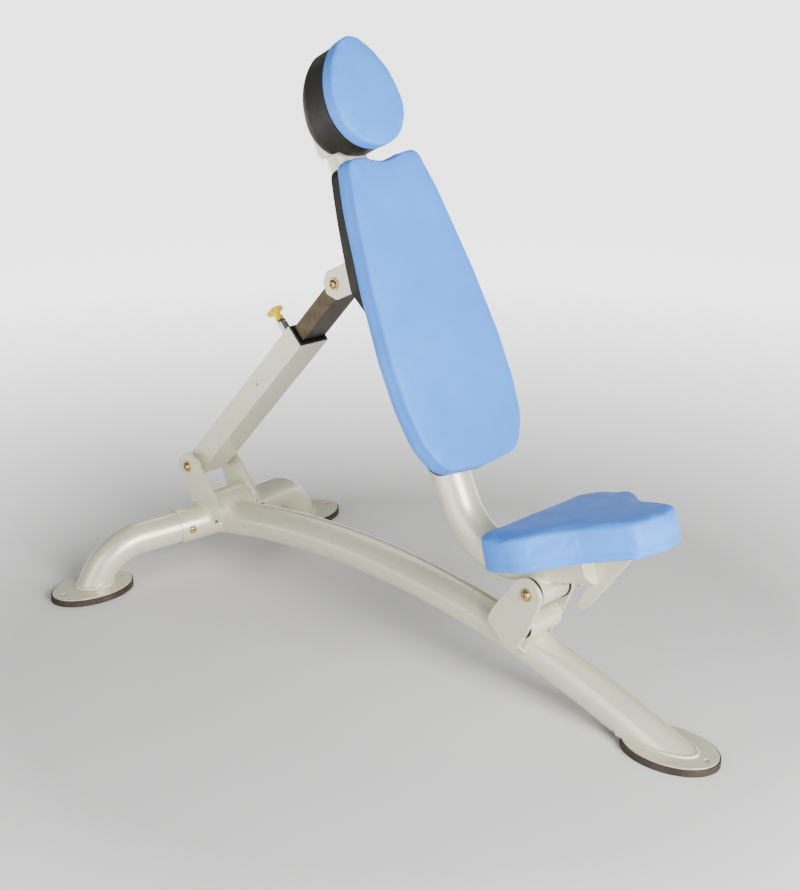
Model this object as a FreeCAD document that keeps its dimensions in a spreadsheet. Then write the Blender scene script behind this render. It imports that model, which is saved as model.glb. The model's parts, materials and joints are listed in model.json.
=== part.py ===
import FreeCAD, Part
import math
import os
import re

import Sketcher

# Adjustable weight bench: an arched beam on three oval feet carries a bent tube with
# the seat, back and head pads. The bent tube turns about the front pivot, and a
# telescopic strut with a spring pin holds it.
#
# Model frame: origin on the floor below the middle of the footprint, +X towards the
# front foot, +Z up, mirror plane Y = 0. Lengths are in millimetres, angles in degrees.

Vector = FreeCAD.Vector
Placement = FreeCAD.Placement
Rotation = FreeCAD.Rotation

# Driving dimensions: alias, value, meaning.
DIMENSIONS = [
    ("main_tube_radius", 38, "outer radius of the beam, the cross tube and the back tube"),
    ("main_tube_wall", 3.5, "wall of the large tubes"),
    ("arch_radius", 2078, "radius of the beam's centre line"),
    ("arch_top_forward", -159, "X of the highest point of the beam"),
    ("arch_top_height", 156.8, "height of the beam's centre line there"),
    ("joint_forward", -585, "X where the two leg sleeves meet"),
    ("joint_height", 121, "height of that meeting point"),
    ("leg_sweep_angle", 16.7, "angle of a leg behind the Y axis, seen from above"),
    ("leg_drop_angle", 5.7, "slope of the first, straight stretch of a leg"),
    ("leg_radius", 35, "outer radius of a leg tube"),
    ("leg_wall", 3, "wall of a leg tube"),
    ("leg_start", 72, "distance from the meeting point to the hidden end of the leg"),
    ("leg_corner", 269.3, "distance from the meeting point to the leg's corner"),
    ("leg_bend_radius", 130, "centre line radius of the leg's bend"),
    ("leg_bend_angle", 54.3, "angle of the leg's bend"),
    ("leg_end_length", 60, "straight tube after the bend, before the floor cut"),
    ("sleeve_radius", 38, "outer radius of a leg sleeve"),
    ("sleeve_bore", 35.3, "inner radius of a leg sleeve"),
    ("sleeve_length", 117, "distance from the meeting point to the sleeve's rim"),
    ("sleeve_bolt_place", 94, "distance from the meeting point to the sleeve bolt"),
    ("foot_rear_forward", -668, "X of the rear foot centres"),
    ("foot_rear_side", 309, "Y of the rear foot centres"),
    ("foot_front_forward", 636, "X of the front foot centre"),
    ("foot_rear_major", 93.9, "half length of a rear plate"),
    ("foot_rear_minor", 62.6, "half width of a rear plate"),
    ("foot_front_major", 94.6, "half length of the front plate"),
    ("foot_front_minor", 65.1, "half width of the front plate"),
    ("rubber_lip", 3, "rubber that stands out around a plate"),
    ("rubber_under", 9, "rubber under a plate"),
    ("rubber_height", 14, "height of the rubber lip"),
    ("plate_top", 16, "height of the top of a foot plate"),
    ("anchor_hole_radius", 5.5, "floor bolt holes in the feet"),
    ("anchor_rear_spacing", 145, "distance between the two holes of a rear foot"),
    ("anchor_front_forward", 712, "X of the hole in the front foot"),
    ("ear_top_half", 29, "half width of a pivot ear at its pin"),
    ("ear_bottom_half", 42, "half width of a pivot ear at its foot"),
    ("rear_ear_length", 142, "length of a rear pivot ear below its pin"),
    ("front_ear_length", 129, "length of a front pivot ear below its pin"),
    ("ear_thickness", 8, "thickness of the ears"),
    ("rear_pivot_forward", -641, "X of the strut's lower pivot"),
    ("rear_pivot_height", 232, "height of the strut's lower pivot"),
    ("rear_ear_lean", -37, "lean of the rear ears, from vertical towards +X"),
    ("rear_ear_inside", 50, "half distance between the rear ears"),
    ("rear_cross_forward", -577, "X of the cross tube under the rear ears"),
    ("rear_cross_height", 147, "height of that cross tube"),
    ("front_pivot_forward", 341, "X of the pivot of the back and seat tube"),
    ("front_pivot_height", 227, "height of that pivot"),
    ("front_ear_lean", 31.3, "lean of the front ears"),
    ("front_ear_inside", 42, "half distance between the front ears"),
    ("front_cross_forward", 326, "X of the cross tube under the front ears"),
    ("front_cross_height", 156, "height of that cross tube"),
    ("front_cross_radius", 25, "outer radius of that cross tube"),
    ("pin_radius", 6, "radius of the three pivot bolts"),
    ("pin_running_gap", 0.05, "radial clearance of a pivot bolt in its bush"),
    ("loose_gap", 0.3, "radial gap round a bolt that doesn't turn"),
    ("washer_radius", 13, "outer radius of a bolt's washer"),
    ("washer_thickness", 2, "thickness of a bolt's washer"),
    ("head_radius", 9, "radius of a bolt's domed head"),
    ("head_height", 6, "height of a bolt's domed head"),
    ("nut_radius", 10, "radius to the corners of a nut"),
    ("nut_height", 8, "height of a nut"),
    ("corner_forward", 179.9, "X of the corner where the back and seat lines cross"),
    ("corner_height", 235.5, "height of that corner"),
    ("back_lean", 26, "lean of the back from vertical"),
    ("seat_tilt", 15, "slope of the seat, front end up"),
    ("frame_bend_radius", 138, "centre line radius of the bend under the seat"),
    ("frame_top", 870, "length of the back line, from the corner to the tube's top"),
    ("frame_front", 284, "length of the seat line, from the corner to the tube's end"),
    ("barrel_radius", 29, "outer radius of the front pivot barrel"),
    ("barrel_bore", 24.5, "inner radius of the front pivot barrel"),
    ("barrel_width", 76, "width of the front pivot barrel"),
    ("flange_thickness", 3.8, "black flange of a pivot bush"),
    ("clevis_pin_back", 101.2, "distance of the upper pin behind the back line"),
    ("clevis_pin_up", 588.4, "distance of the upper pin along the back line"),
    ("clevis_inside", 34, "half distance between the clevis ears"),
    ("clevis_web", 6, "thickness of the clevis web"),
    ("strut_angle", 45.95, "slope of the strut"),
    ("strut_outer_width", 75, "width of the outer strut tube across the bench"),
    ("strut_outer_depth", 50, "depth of the outer strut tube"),
    ("strut_outer_wall", 3, "wall of the outer strut tube"),
    ("strut_outer_back", 24, "outer strut tube below the lower pivot"),
    ("strut_barrel_radius", 20, "outer radius of the strut's lower barrel"),
    ("strut_barrel_bore", 15.5, "inner radius of that barrel"),
    ("strut_barrel_width", 92, "width of that barrel"),
    ("guide_screw_place", 324, "distance from the lower pivot to the guide screws"),
    ("strut_mouth", 500, "distance from the lower pivot to the mouth"),
    ("strut_inner_width", 60, "width of the inner strut tube"),
    ("strut_inner_depth", 34, "depth of the inner strut tube"),
    ("strut_inner_wall", 2.5, "wall of the inner strut tube"),
    ("strut_inner_low", 160, "distance from the lower pivot to the inner tube's low end"),
    ("strut_inner_past", 24, "inner strut tube beyond the upper pin"),
    ("strut_reach", 679, "distance between the lower pivot and the upper pin"),
    ("slot_up", 6.6, "slot for the upper pin, towards the top face of the strut"),
    ("slot_down", 15.2, "slot for the upper pin, towards the bottom face"),
    ("liner_length", 70, "plastic liner in the mouth of the outer strut tube"),
    ("liner_lip", 3, "liner that shows beyond the mouth"),
    ("liner_gap", 0.4, "gap between the liner and the inner strut tube"),
    ("index_pitch", 30, "distance between the locking holes"),
    ("index_radius", 5, "radius of the locking holes"),
    ("pull_pin_place", 450, "distance from the lower pivot to the pull pin"),
    ("pull_pin_radius", 4.5, "radius of the pull pin"),
    ("housing_radius", 10.5, "outer radius of the pull pin's housing"),
    ("housing_bore", 7.5, "inner radius of the pull pin's housing"),
    ("housing_height", 44, "height of the pull pin's housing"),
    ("knob_radius", 19, "radius of the pull knob"),
    ("board_front", 62, "back line to the front of the back board"),
    ("back_face", 103, "back line to the front face of the back cushion"),
    ("back_top", 779, "back line length at the top corners of the back cushion"),
    ("back_top_half", 88, "half width of the back cushion at its top"),
    ("back_wide_half", 147, "half width of the back cushion at its widest"),
    ("back_wide_high", 420, "upper end of its widest stretch"),
    ("back_wide_low", 320, "lower end of its widest stretch"),
    ("back_bottom", 168, "lower end of the back cushion"),
    ("head_middle", 899, "back line length at the middle of the head pad"),
    ("head_seam", 78, "back line to the seam of the head pad"),
    ("head_face", 110, "back line to the face of the head pad"),
    ("head_plate", 43, "back line to the front of the plate that holds the head shell"),
    ("head_back", 8, "back line to the back of the head shell"),
    ("seat_rear", 150, "seat line length at the rear edge of the seat cushion"),
    ("seat_front", 456, "seat line length at the front edge of the seat cushion"),
    ("seat_half", 165, "half width of the seat cushion"),
    ("seat_face", 94, "seat line to the top of the seat cushion"),
    ("seat_skirt", 28, "seat line to the lower edge of the seat cushion"),
    ("seat_board_thickness", 12, "thickness of the seat board"),
]

ALIASES = {alias for alias, _, _ in DIMENSIONS}

doc = FreeCAD.newDocument("weight_bench")
sheet = doc.addObject("Spreadsheet::Sheet", "Sizes")
for row, (alias, value, meaning) in enumerate(DIMENSIONS, start=1):
    sheet.set(f"A{row}", meaning)
    sheet.set(f"B{row}", str(value))
    sheet.setAlias(f"B{row}", alias)
doc.recompute()

SUBPARTS = []


# Small tools -------------------------------------------------------------------------

def size(text):
    """Value of an expression in the sheet's aliases."""
    return float(sheet.evalExpression(text))


def linked(text):
    """The same expression as another object writes it."""
    return re.sub(r"[a-z_]+", lambda m: f"Sizes.{m[0]}" if m[0] in ALIASES else m[0], text)


def make(kind, name, **properties):
    """An object whose properties are bound to expressions of the sheet."""
    item = doc.addObject(kind, name)
    for key, text in properties.items():
        item.setExpression(key, linked(text))
    return item


def subpart(item, label):
    """Marks an object as a piece of the bench and names its file."""
    item.Label = label
    SUBPARTS.append(item)
    return item


def tilted(forward, height, angle, side=0):
    """Frame at a point, turned about Y so that its X axis rises by angle."""
    turn = Rotation(Vector(0, 1, 0), -angle)
    return Placement(Vector(forward, side, height), turn)


def point(frame, along, side, up):
    """Place in the model of a point given in a frame."""
    return frame.multVec(Vector(along, side, up))


def rod(name, radius, length, frame, start, along):
    """Solid cylinder from a point of a frame in a direction of that frame."""
    item = make("Part::Cylinder", name, Radius=radius, Height=length)
    item.Placement = frame.multiply(Placement(Vector(*start), Rotation(Vector(0, 0, 1), Vector(*along))))
    return item


def cross_rod(name, radius, length, frame, along=0, up=0):
    """Solid cylinder across the bench, centred on the mirror plane."""
    return rod(name, radius, length, frame, (along, -size(length) / 2, up), (0, 1, 0))


def block(name, length, width, height, frame, corner):
    """Box whose lowest corner lies at a point of a frame."""
    item = make("Part::Box", name, Length=length, Width=width, Height=height)
    item.Placement = frame.multiply(Placement(Vector(*corner), Rotation()))
    return item


def cut(name, base, tool):
    item = doc.addObject("Part::Cut", name)
    item.Base = base
    item.Tool = tool
    return item


def fuse(name, *items):
    item = doc.addObject("Part::MultiFuse", name)
    item.Shapes = list(items)
    return item


def group(name, *items):
    item = doc.addObject("Part::Compound", name)
    item.Links = list(items)
    return item


def both(points):
    """Outline mirrored in its first coordinate, from its half with positive values."""
    other = [(f"-({a})", b) for a, b in reversed(points) if a != "0"]
    return points + other


def both_up(points):
    """Outline mirrored in its second coordinate."""
    other = [(a, f"-({b})") for a, b in reversed(points) if b != "0"]
    return points + other


def plane_of(body, role):
    return next(item for item in body.Origin.OriginFeatures if item.Role == role)


def outline_sketch(body, role, points, bulges=None):
    """Closed outline through points given as expressions; bulges maps a side's number
    to the radius of an arc that curves outwards, for points listed clockwise."""
    sketch = body.newObject("Sketcher::SketchObject", body.Name + "_outline")
    sketch.AttachmentSupport = [(plane_of(body, role), "")]
    sketch.MapMode = "FlatFace"
    corners = [Vector(size(a), size(b), 0) for a, b in points]
    count = len(corners)
    for i, start in enumerate(corners):
        end = corners[(i + 1) % count]
        radius = (bulges or {}).get(i)
        if radius is None:
            sketch.addGeometry(Part.LineSegment(start, end), False)
        else:
            sketch.addGeometry(arc_between(start, end, size(radius)), False)
    for i in range(count):
        reverse = i in (bulges or {})
        following = (i + 1) % count
        end_of_this = 1 if reverse else 2
        start_of_next = 2 if following in (bulges or {}) else 1
        constrain(sketch, "Coincident", i, end_of_this, following, start_of_next)
    for i, (a, b) in enumerate(points):
        vertex = 2 if i in (bulges or {}) else 1
        pin_vertex(sketch, i, vertex, a, b)
    for i, radius in (bulges or {}).items():
        number = constrain(sketch, "Radius", i, size(radius))
        sketch.setExpression(f"Constraints[{number}]", linked(radius))
    return sketch


def arc_between(start, end, radius):
    """Arc from end round to start, counter-clockwise, that bulges to the left of the
    way from start to end."""
    middle = (start + end) * 0.5
    way = end - start
    left = Vector(-way.y, way.x, 0).normalize()
    depth = math.sqrt(radius ** 2 - (way.Length / 2) ** 2)
    centre = middle - left * depth
    angles = [math.atan2(p.y - centre.y, p.x - centre.x) for p in (end, start)]
    circle = Part.Circle(centre, Vector(0, 0, 1), radius)
    return Part.ArcOfCircle(circle, angles[0], angles[1])


def constrain(sketch, *terms):
    return sketch.addConstraint(Sketcher.Constraint(*terms))


def pin_vertex(sketch, geometry, vertex, across, upwards):
    """Holds a vertex at expressions of the sheet, or on an axis where one is zero."""
    for kind, axis, text in (("DistanceX", -2, across), ("DistanceY", -1, upwards)):
        if text == "0":
            constrain(sketch, "PointOnObject", geometry, vertex, axis)
        else:
            number = constrain(sketch, kind, -1, 1, geometry, vertex, size(text))
            sketch.setExpression(f"Constraints[{number}]", linked(text))


def plate(name, role, points, depth, frame, radii=None, bulges=None, symmetric=False, rims=None):
    """Plate or pad: an outline padded by a depth. Radii maps a radius to the corners that
    it rounds, rims maps a level of the pad to the radius of the edge all round it."""
    body = doc.addObject("PartDesign::Body", name)
    sketch = outline_sketch(body, role, points, bulges)
    pad = body.newObject("PartDesign::Pad", name + "_pad")
    pad.Profile = sketch
    pad.setExpression("Length", linked(depth))
    if symmetric:
        pad.SideType = "Symmetric"
    doc.recompute()
    for number, (radius, corners) in enumerate((radii or {}).items()):
        wanted = [Vector(*sketch_corner(role, points[i])) for i in corners]
        round_edges(body, f"{name}_round_{number}", upright_edges(body.Tip.Shape, role, wanted), radius)
    for number, (offset, radius) in enumerate((rims or {}).items()):
        round_edges(body, f"{name}_rim_{number}", rim_edges(body.Tip.Shape, role, size(offset)), radius)
    body.Placement = frame
    return body


def round_edges(body, name, edges, radius):
    base = body.Tip
    fillet = body.newObject("PartDesign::Fillet", name)
    fillet.Base = (base, edges)
    fillet.setExpression("Radius", linked(radius))
    doc.recompute()


def sketch_corner(role, corner):
    a, b = size(corner[0]), size(corner[1])
    return {"XY_Plane": (a, b, 0), "XZ_Plane": (a, 0, b), "YZ_Plane": (0, a, b)}[role]


def rim_edges(shape, role, level):
    """Names of the edges that lie at a level of the pad."""
    along = {"XY_Plane": 2, "XZ_Plane": 1, "YZ_Plane": 0}[role]
    return [f"Edge{number}" for number, edge in enumerate(shape.Edges, start=1)
            if all(abs(vertex.Point[along] - level) < 0.01 for vertex in edge.Vertexes)]


def upright_edges(shape, role, wanted):
    """Names of the straight edges that stand on the outline at the wanted corners."""
    along = {"XY_Plane": 2, "XZ_Plane": 1, "YZ_Plane": 0}[role]
    names = []
    for number, edge in enumerate(shape.Edges, start=1):
        ends = [vertex.Point for vertex in edge.Vertexes]
        if len(ends) != 2:
            continue
        flat = [Vector(*[0 if i == along else p[i] for i in range(3)]) for p in ends]
        if flat[0].distanceToPoint(flat[1]) > 0.01:
            continue
        if any(flat[0].distanceToPoint(place) < 0.01 for place in wanted):
            names.append(f"Edge{number}")
    return names


def bent_tube(name, radius, wall, first, bend_radius, bend_angle, last, frame):
    """Tube that runs up the frame's Z axis, bends towards its X axis and runs on."""
    body = doc.addObject("PartDesign::Body", name)
    ring = body.newObject("Sketcher::SketchObject", name + "_ring")
    ring.AttachmentSupport = [(plane_of(body, "XY_Plane"), "")]
    ring.MapMode = "FlatFace"
    for i, text in enumerate((radius, f"{radius} - {wall}")):
        ring.addGeometry(Part.Circle(Vector(), Vector(0, 0, 1), size(text)), False)
        constrain(ring, "Coincident", i, 3, -1, 1)
        number = constrain(ring, "Radius", i, size(text))
        ring.setExpression(f"Constraints[{number}]", linked(text))
    path = body.newObject("Sketcher::SketchObject", name + "_path")
    path.AttachmentSupport = [(plane_of(body, "XZ_Plane"), "")]
    path.MapMode = "FlatFace"
    rise, turn, angle, run = size(first), size(bend_radius), math.radians(size(bend_angle)), size(last)
    centre = Vector(turn, rise, 0)
    knee = centre + Vector(-math.cos(angle), math.sin(angle), 0) * turn
    end = knee + Vector(math.sin(angle), math.cos(angle), 0) * run
    path.addGeometry(Part.LineSegment(Vector(), Vector(0, rise, 0)), False)
    circle = Part.Circle(centre, Vector(0, 0, 1), turn)
    path.addGeometry(Part.ArcOfCircle(circle, math.pi - angle, math.pi), False)
    path.addGeometry(Part.LineSegment(knee, end), False)
    constrain(path, "Coincident", 0, 1, -1, 1)
    constrain(path, "Vertical", 0)
    constrain(path, "Tangent", 0, 2, 1, 2)
    constrain(path, "Tangent", 1, 1, 2, 1)
    bound = [(("Distance", 0, rise), first), (("Radius", 1, turn), bend_radius), (("Distance", 2, run), last)]
    for terms, text in bound:
        number = constrain(path, *terms)
        path.setExpression(f"Constraints[{number}]", linked(text))
    number = constrain(path, "Angle", 0, 2, 2, 1, math.pi - angle)
    path.setExpression(f"Constraints[{number}]", f"180 - ({linked(bend_angle)})")
    pipe = body.newObject("PartDesign::AdditivePipe", name + "_pipe")
    pipe.Profile = ring
    pipe.Spine = path
    doc.recompute()
    body.Placement = frame
    return body


# Frames --------------------------------------------------------------------------------

BASE = Placement()
BACK = tilted(size("corner_forward"), size("corner_height"), size("back_lean"))
SEAT = tilted(size("corner_forward"), size("corner_height"), size("seat_tilt"))
STRUT = tilted(size("rear_pivot_forward"), size("rear_pivot_height"), size("strut_angle"))
REAR_EAR = tilted(size("rear_pivot_forward"), size("rear_pivot_height"), -size("rear_ear_lean"))
FRONT_EAR = tilted(size("front_pivot_forward"), size("front_pivot_height"), -size("front_ear_lean"))
PIVOT = tilted(size("front_pivot_forward"), size("front_pivot_height"), 0)
SIDES = (("left", 1), ("right", -1))
HEAD_BOLTS = ((-2, 838), (-12, 884))
BACK_BOLTS = (250, 500)
SEAT_BOLTS = (205, 245)


def shifted(frame, along=0, side=0, up=0):
    """The same frame, moved along its own axes."""
    return frame.multiply(Placement(Vector(along, side, up), Rotation()))


CLEVIS = shifted(BACK, along=-size("clevis_pin_back"), up=size("clevis_pin_up"))


def leg_frame(side):
    """Frame at the sleeves' meeting point, its Z axis down the middle of a leg."""
    sweep = math.radians(size("leg_sweep_angle"))
    drop = math.radians(size("leg_drop_angle"))
    outwards = Vector(-math.sin(sweep), side * math.cos(sweep), 0)
    along = outwards * math.cos(drop) + Vector(0, 0, -math.sin(drop))
    down = outwards * -math.sin(drop) + Vector(0, 0, -math.cos(drop))
    turn = Rotation(down, along.cross(down), along, "ZXY")
    return Placement(Vector(size("joint_forward"), 0, size("joint_height")), turn)


# Base ----------------------------------------------------------------------------------

def sleeve_solid(name, side, radius):
    """Solid of a leg sleeve, from just past the mirror plane to its rim."""
    return rod(name, radius, "sleeve_length + 14", leg_frame(side), (0, 0, -14), (0, 0, 1))


def arch(name, radius):
    """Solid of the beam: part of a ring about an axis across the bench, from the
    leg sleeves to beyond the front foot."""
    ring = size("arch_radius")
    rear = math.asin((size("joint_forward") - size("arch_top_forward")) / ring)
    outwards = Vector(math.sin(rear), 0, math.cos(rear))
    forwards = Vector(math.cos(rear), 0, -math.sin(rear))
    item = make("Part::Torus", name, Radius1="arch_radius", Radius2=radius,
                Angle3="25 deg - asin((joint_forward - arch_top_forward) / arch_radius)")
    centre = Vector(size("arch_top_forward"), 0, size("arch_top_height") - ring)
    item.Placement = Placement(centre, Rotation(outwards, forwards, Vector(0, 1, 0), "ZXY"))
    return item


def floor_cut(name):
    """Everything below the top of the foot plates."""
    return block(name, "2000", "1200", "300", BASE, (-1000, -600, size("plate_top") - 300))


def rear_cross_solid(name, radius="main_tube_radius"):
    return cross_rod(name, radius, "2 * rear_ear_inside", BASE, size("rear_cross_forward"),
                     size("rear_cross_height"))


def front_cross_solid(name, radius="front_cross_radius"):
    return cross_rod(name, radius, "2 * front_ear_inside", BASE, size("front_cross_forward"),
                     size("front_cross_height"))


def main_beam():
    tube = cut("beam_tube", arch("beam_outer", "main_tube_radius"),
               arch("beam_bore", "main_tube_radius - main_tube_wall"))
    tools = fuse("beam_tools", sleeve_solid("beam_cut_left", 1, "sleeve_radius"),
                 sleeve_solid("beam_cut_right", -1, "sleeve_radius"), rear_cross_solid("beam_cut_rear"),
                 front_cross_solid("beam_cut_front"), floor_cut("beam_cut_floor"))
    subpart(cut("beam", tube, tools), "main_beam")


def ear(name, frame, inside, side, length):
    """Pivot ear: narrow and round at its pin, wide at its foot."""
    points = [("-ear_top_half", "ear_top_half"), ("ear_top_half", "ear_top_half"),
              ("ear_bottom_half", f"-{length} * 0.5"), ("ear_bottom_half", f"-{length} + 14"),
              ("ear_bottom_half - 16", f"-{length}"), ("-ear_bottom_half", f"-{length} + 12"),
              ("-ear_bottom_half", f"-{length} * 0.58")]
    middle = side * size(f"{inside} + ear_thickness / 2")
    body = plate(name + "_plate", "XZ_Plane", points, "ear_thickness", shifted(frame, side=middle),
                 radii={"ear_top_half - 0.6": [0, 1], "14": [3, 4, 5]}, symmetric=True)
    hole = rod(name + "_hole", "pin_radius + loose_gap", "ear_thickness + 2", frame,
               (0, middle - size("ear_thickness / 2 + 1"), 0), (0, 1, 0))
    return subpart(cut(name + "_drilled", body, hole), name)


def cross_tubes():
    subpart(cut("rear_cross", rear_cross_solid("rear_cross_outer"),
                rear_cross_solid("rear_cross_bore", "main_tube_radius - main_tube_wall")), "rear_cross_tube")
    subpart(cut("front_cross", front_cross_solid("front_cross_outer"),
                front_cross_solid("front_cross_bore", "front_cross_radius - 3")), "front_cross_tube")


def leg_sleeves(rear_ears):
    """The two mitred sleeves, saddle cut for the cross tube and slotted for the ears."""
    for label, side in SIDES:
        body = sleeve_solid(f"sleeve_outer_{label}", side, "sleeve_radius")
        bore = rod(f"sleeve_bore_{label}", "sleeve_bore", "sleeve_length + 80", leg_frame(side),
                   (0, 0, -40), (0, 0, 1))
        other_half = block(f"sleeve_half_{label}", "400", "200", "400", BASE,
                           (size("joint_forward") - 200, -200 if side > 0 else 0, size("joint_height") - 200))
        tools = fuse(f"sleeve_tools_{label}", bore, other_half, rear_ears[side],
                     rear_cross_solid(f"sleeve_cross_{label}"), sleeve_bolt_hole(f"sleeve_hole_{label}", side))
        subpart(cut(f"sleeve_{label}", body, tools), f"leg_sleeve_{label}")


def sleeve_bolt_frame(side):
    """Frame on a leg's axis at the sleeve bolt, its X axis level and pointing forward."""
    frame = leg_frame(side)
    sweep = math.radians(size("leg_sweep_angle"))
    forward = Vector(math.cos(sweep), side * math.sin(sweep), 0)
    upwards = forward.cross(frame.Rotation.multVec(Vector(0, 0, 1))) * side
    return Placement(point(frame, 0, 0, size("sleeve_bolt_place")),
                     Rotation(forward, Vector(0, 1, 0), upwards, "XZY"))


def sleeve_bolt_hole(name, side):
    return rod(name, "5.3", "120", sleeve_bolt_frame(side), (-60, 0, 0), (1, 0, 0))


def legs():
    setback = "leg_bend_radius * tan(leg_bend_angle / 2)"
    for label, side in SIDES:
        frame = shifted(leg_frame(side), up=size("leg_start"))
        tube = bent_tube(f"leg_tube_{label}", "leg_radius", "leg_wall", f"leg_corner - leg_start - {setback}",
                         "leg_bend_radius", "leg_bend_angle", "leg_end_length", frame)
        tools = fuse(f"leg_tools_{label}", floor_cut(f"leg_floor_{label}"),
                     sleeve_bolt_hole(f"leg_hole_{label}", side))
        subpart(cut(f"leg_{label}", tube, tools), f"rear_leg_{label}")


def sleeve_bolts():
    """Two bolts, each through a sleeve and its leg, with a nut at the back."""
    pieces = []
    reach = size("sleeve_radius") + 0.4
    for label, side in SIDES:
        frame = sleeve_bolt_frame(side)
        shaft = rod(f"sleeve_bolt_shaft_{label}", "5", "2 * sleeve_radius + 10", frame, (-reach - 9, 0, 0),
                    (1, 0, 0))
        head = domed_head(f"sleeve_bolt_head_{label}", frame, (reach, 0, 0), (1, 0, 0))
        nut = hexagon(f"sleeve_bolt_nut_{label}", "7", frame, (-reach, 0, 0), (-1, 0, 0))
        pieces.append(fuse(f"sleeve_bolt_{label}", shaft, head, nut))
    subpart(group("sleeve_bolt_pair", *pieces), "sleeve_bolts")


def oval(name, major, minor, height, forward, side, base, turned):
    """Oval slab standing at a height, its long axis along X, or along Y if turned."""
    ellipse = make("Part::Ellipse", name + "_ellipse", MajorRadius=major, MinorRadius=minor)
    ellipse.Placement = Placement(Vector(forward, side, base), Rotation(Vector(0, 0, 1), 90 if turned else 0))
    slab = doc.addObject("Part::Extrusion", name)
    slab.Base = ellipse
    slab.Dir = Vector(0, 0, 1)
    slab.Solid = True
    slab.setExpression("LengthFwd", linked(height))
    return slab


def foot(label, forward, side, turned, major, minor, holes):
    """Oval plate and the rubber pad that it sits in, drilled for floor bolts."""
    drills = [rod(f"foot_hole_{label}_{i}", "anchor_hole_radius", "30", BASE, (x, y, -5), (0, 0, 1))
              for i, (x, y) in enumerate(holes)]
    drill = drills[0] if len(drills) == 1 else fuse(f"foot_holes_{label}", *drills)
    slab = oval(f"plate_{label}", major, minor, "plate_top - rubber_under", forward, side,
                size("rubber_under"), turned)
    subpart(cut(f"plate_{label}_drilled", slab, drill), f"foot_plate_{label}")
    pad = oval(f"rubber_{label}", f"{major} + rubber_lip", f"{minor} + rubber_lip", "rubber_height", forward,
               side, 0, turned)
    hollow = oval(f"rubber_hollow_{label}", major, minor, "30", forward, side, size("rubber_under"), turned)
    tools = fuse(f"rubber_tools_{label}", hollow, drill)
    subpart(cut(f"rubber_{label}_drilled", pad, tools), f"foot_rubber_{label}")


def feet():
    half = size("anchor_rear_spacing") / 2
    rear = size("foot_rear_forward")
    for label, side in SIDES:
        place = side * size("foot_rear_side")
        foot(label, rear, place, True, "foot_rear_major", "foot_rear_minor",
             [(rear, place - half), (rear, place + half)])
    foot("front", size("foot_front_forward"), 0, False, "foot_front_major", "foot_front_minor",
         [(size("anchor_front_forward"), 0)])


# Back and seat frame ---------------------------------------------------------------------

def back_seat_tube():
    """Bent tube: it runs down the back, bends under the seat and runs forward."""
    downwards = BACK.Rotation.multVec(Vector(0, 0, -1))
    forwards = BACK.Rotation.multVec(Vector(1, 0, 0))
    frame = Placement(point(BACK, 0, 0, size("frame_top")),
                      Rotation(forwards, downwards.cross(forwards), downwards, "ZXY"))
    bend = "90 - back_lean + seat_tilt"
    setback = f"frame_bend_radius * tan(({bend}) / 2)"
    tube = bent_tube("frame_tube", "main_tube_radius", "main_tube_wall", f"frame_top - {setback}",
                     "frame_bend_radius", bend, f"frame_front - {setback}", frame)
    tools = fuse("frame_tube_tools", cross_rod("frame_tube_barrel", "barrel_radius", "barrel_width", PIVOT),
                 cross_rod("frame_tube_head_hole", "4.3", "120", BACK, *HEAD_BOLTS[0]),
                 *[back_bolt_hole(f"frame_tube_back_hole_{i}", place) for i, place in enumerate(BACK_BOLTS)],
                 *[seat_bolt_hole(f"frame_tube_seat_hole_{i}", place) for i, place in enumerate(SEAT_BOLTS)])
    subpart(cut("frame_tube_cut", tube, tools), "back_seat_tube")
    subpart(rod("frame_front_cap", "main_tube_radius", "4", SEAT, (size("frame_front"), 0, 0), (1, 0, 0)),
            "seat_tube_cap")
    subpart(rod("frame_top_cap", "main_tube_radius", "3", BACK, (0, 0, size("frame_top")), (0, 0, 1)),
            "back_tube_cap")


def back_bolt_hole(name, place):
    return rod(name, "3.3", "110", BACK, (-50, 0, place), (1, 0, 0))


def seat_bolt_hole(name, place):
    return rod(name, "3.3", "110", SEAT, (place, 0, -60), (0, 0, 1))


def pad_bolts():
    """Bolts from behind and from below that hold the two boards to the tube."""
    reach = size("main_tube_radius")
    pieces = []
    for i, place in enumerate(BACK_BOLTS):
        shaft = rod(f"back_bolt_shaft_{i}", "3", "2 * main_tube_radius + 18", BACK, (-reach - 3, 0, place), (1, 0, 0))
        head = rod(f"back_bolt_head_{i}", "6.5", "4", BACK, (-reach - 4.5, 0, place), (1, 0, 0))
        pieces.append(fuse(f"back_bolt_{i}", shaft, head))
    for i, place in enumerate(SEAT_BOLTS):
        shaft = rod(f"seat_bolt_shaft_{i}", "3", "2 * main_tube_radius + 10", SEAT, (place, 0, -reach - 3), (0, 0, 1))
        head = rod(f"seat_bolt_head_{i}", "6.5", "4", SEAT, (place, 0, -reach - 4.5), (0, 0, 1))
        pieces.append(fuse(f"seat_bolt_{i}", shaft, head))
    subpart(group("pad_bolt_set", *pieces), "pad_bolts")


def pivot_barrel():
    subpart(cut("barrel", cross_rod("barrel_outer", "barrel_radius", "barrel_width", PIVOT),
                cross_rod("barrel_inner", "barrel_bore", "barrel_width + 4", PIVOT)), "pivot_barrel")


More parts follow.
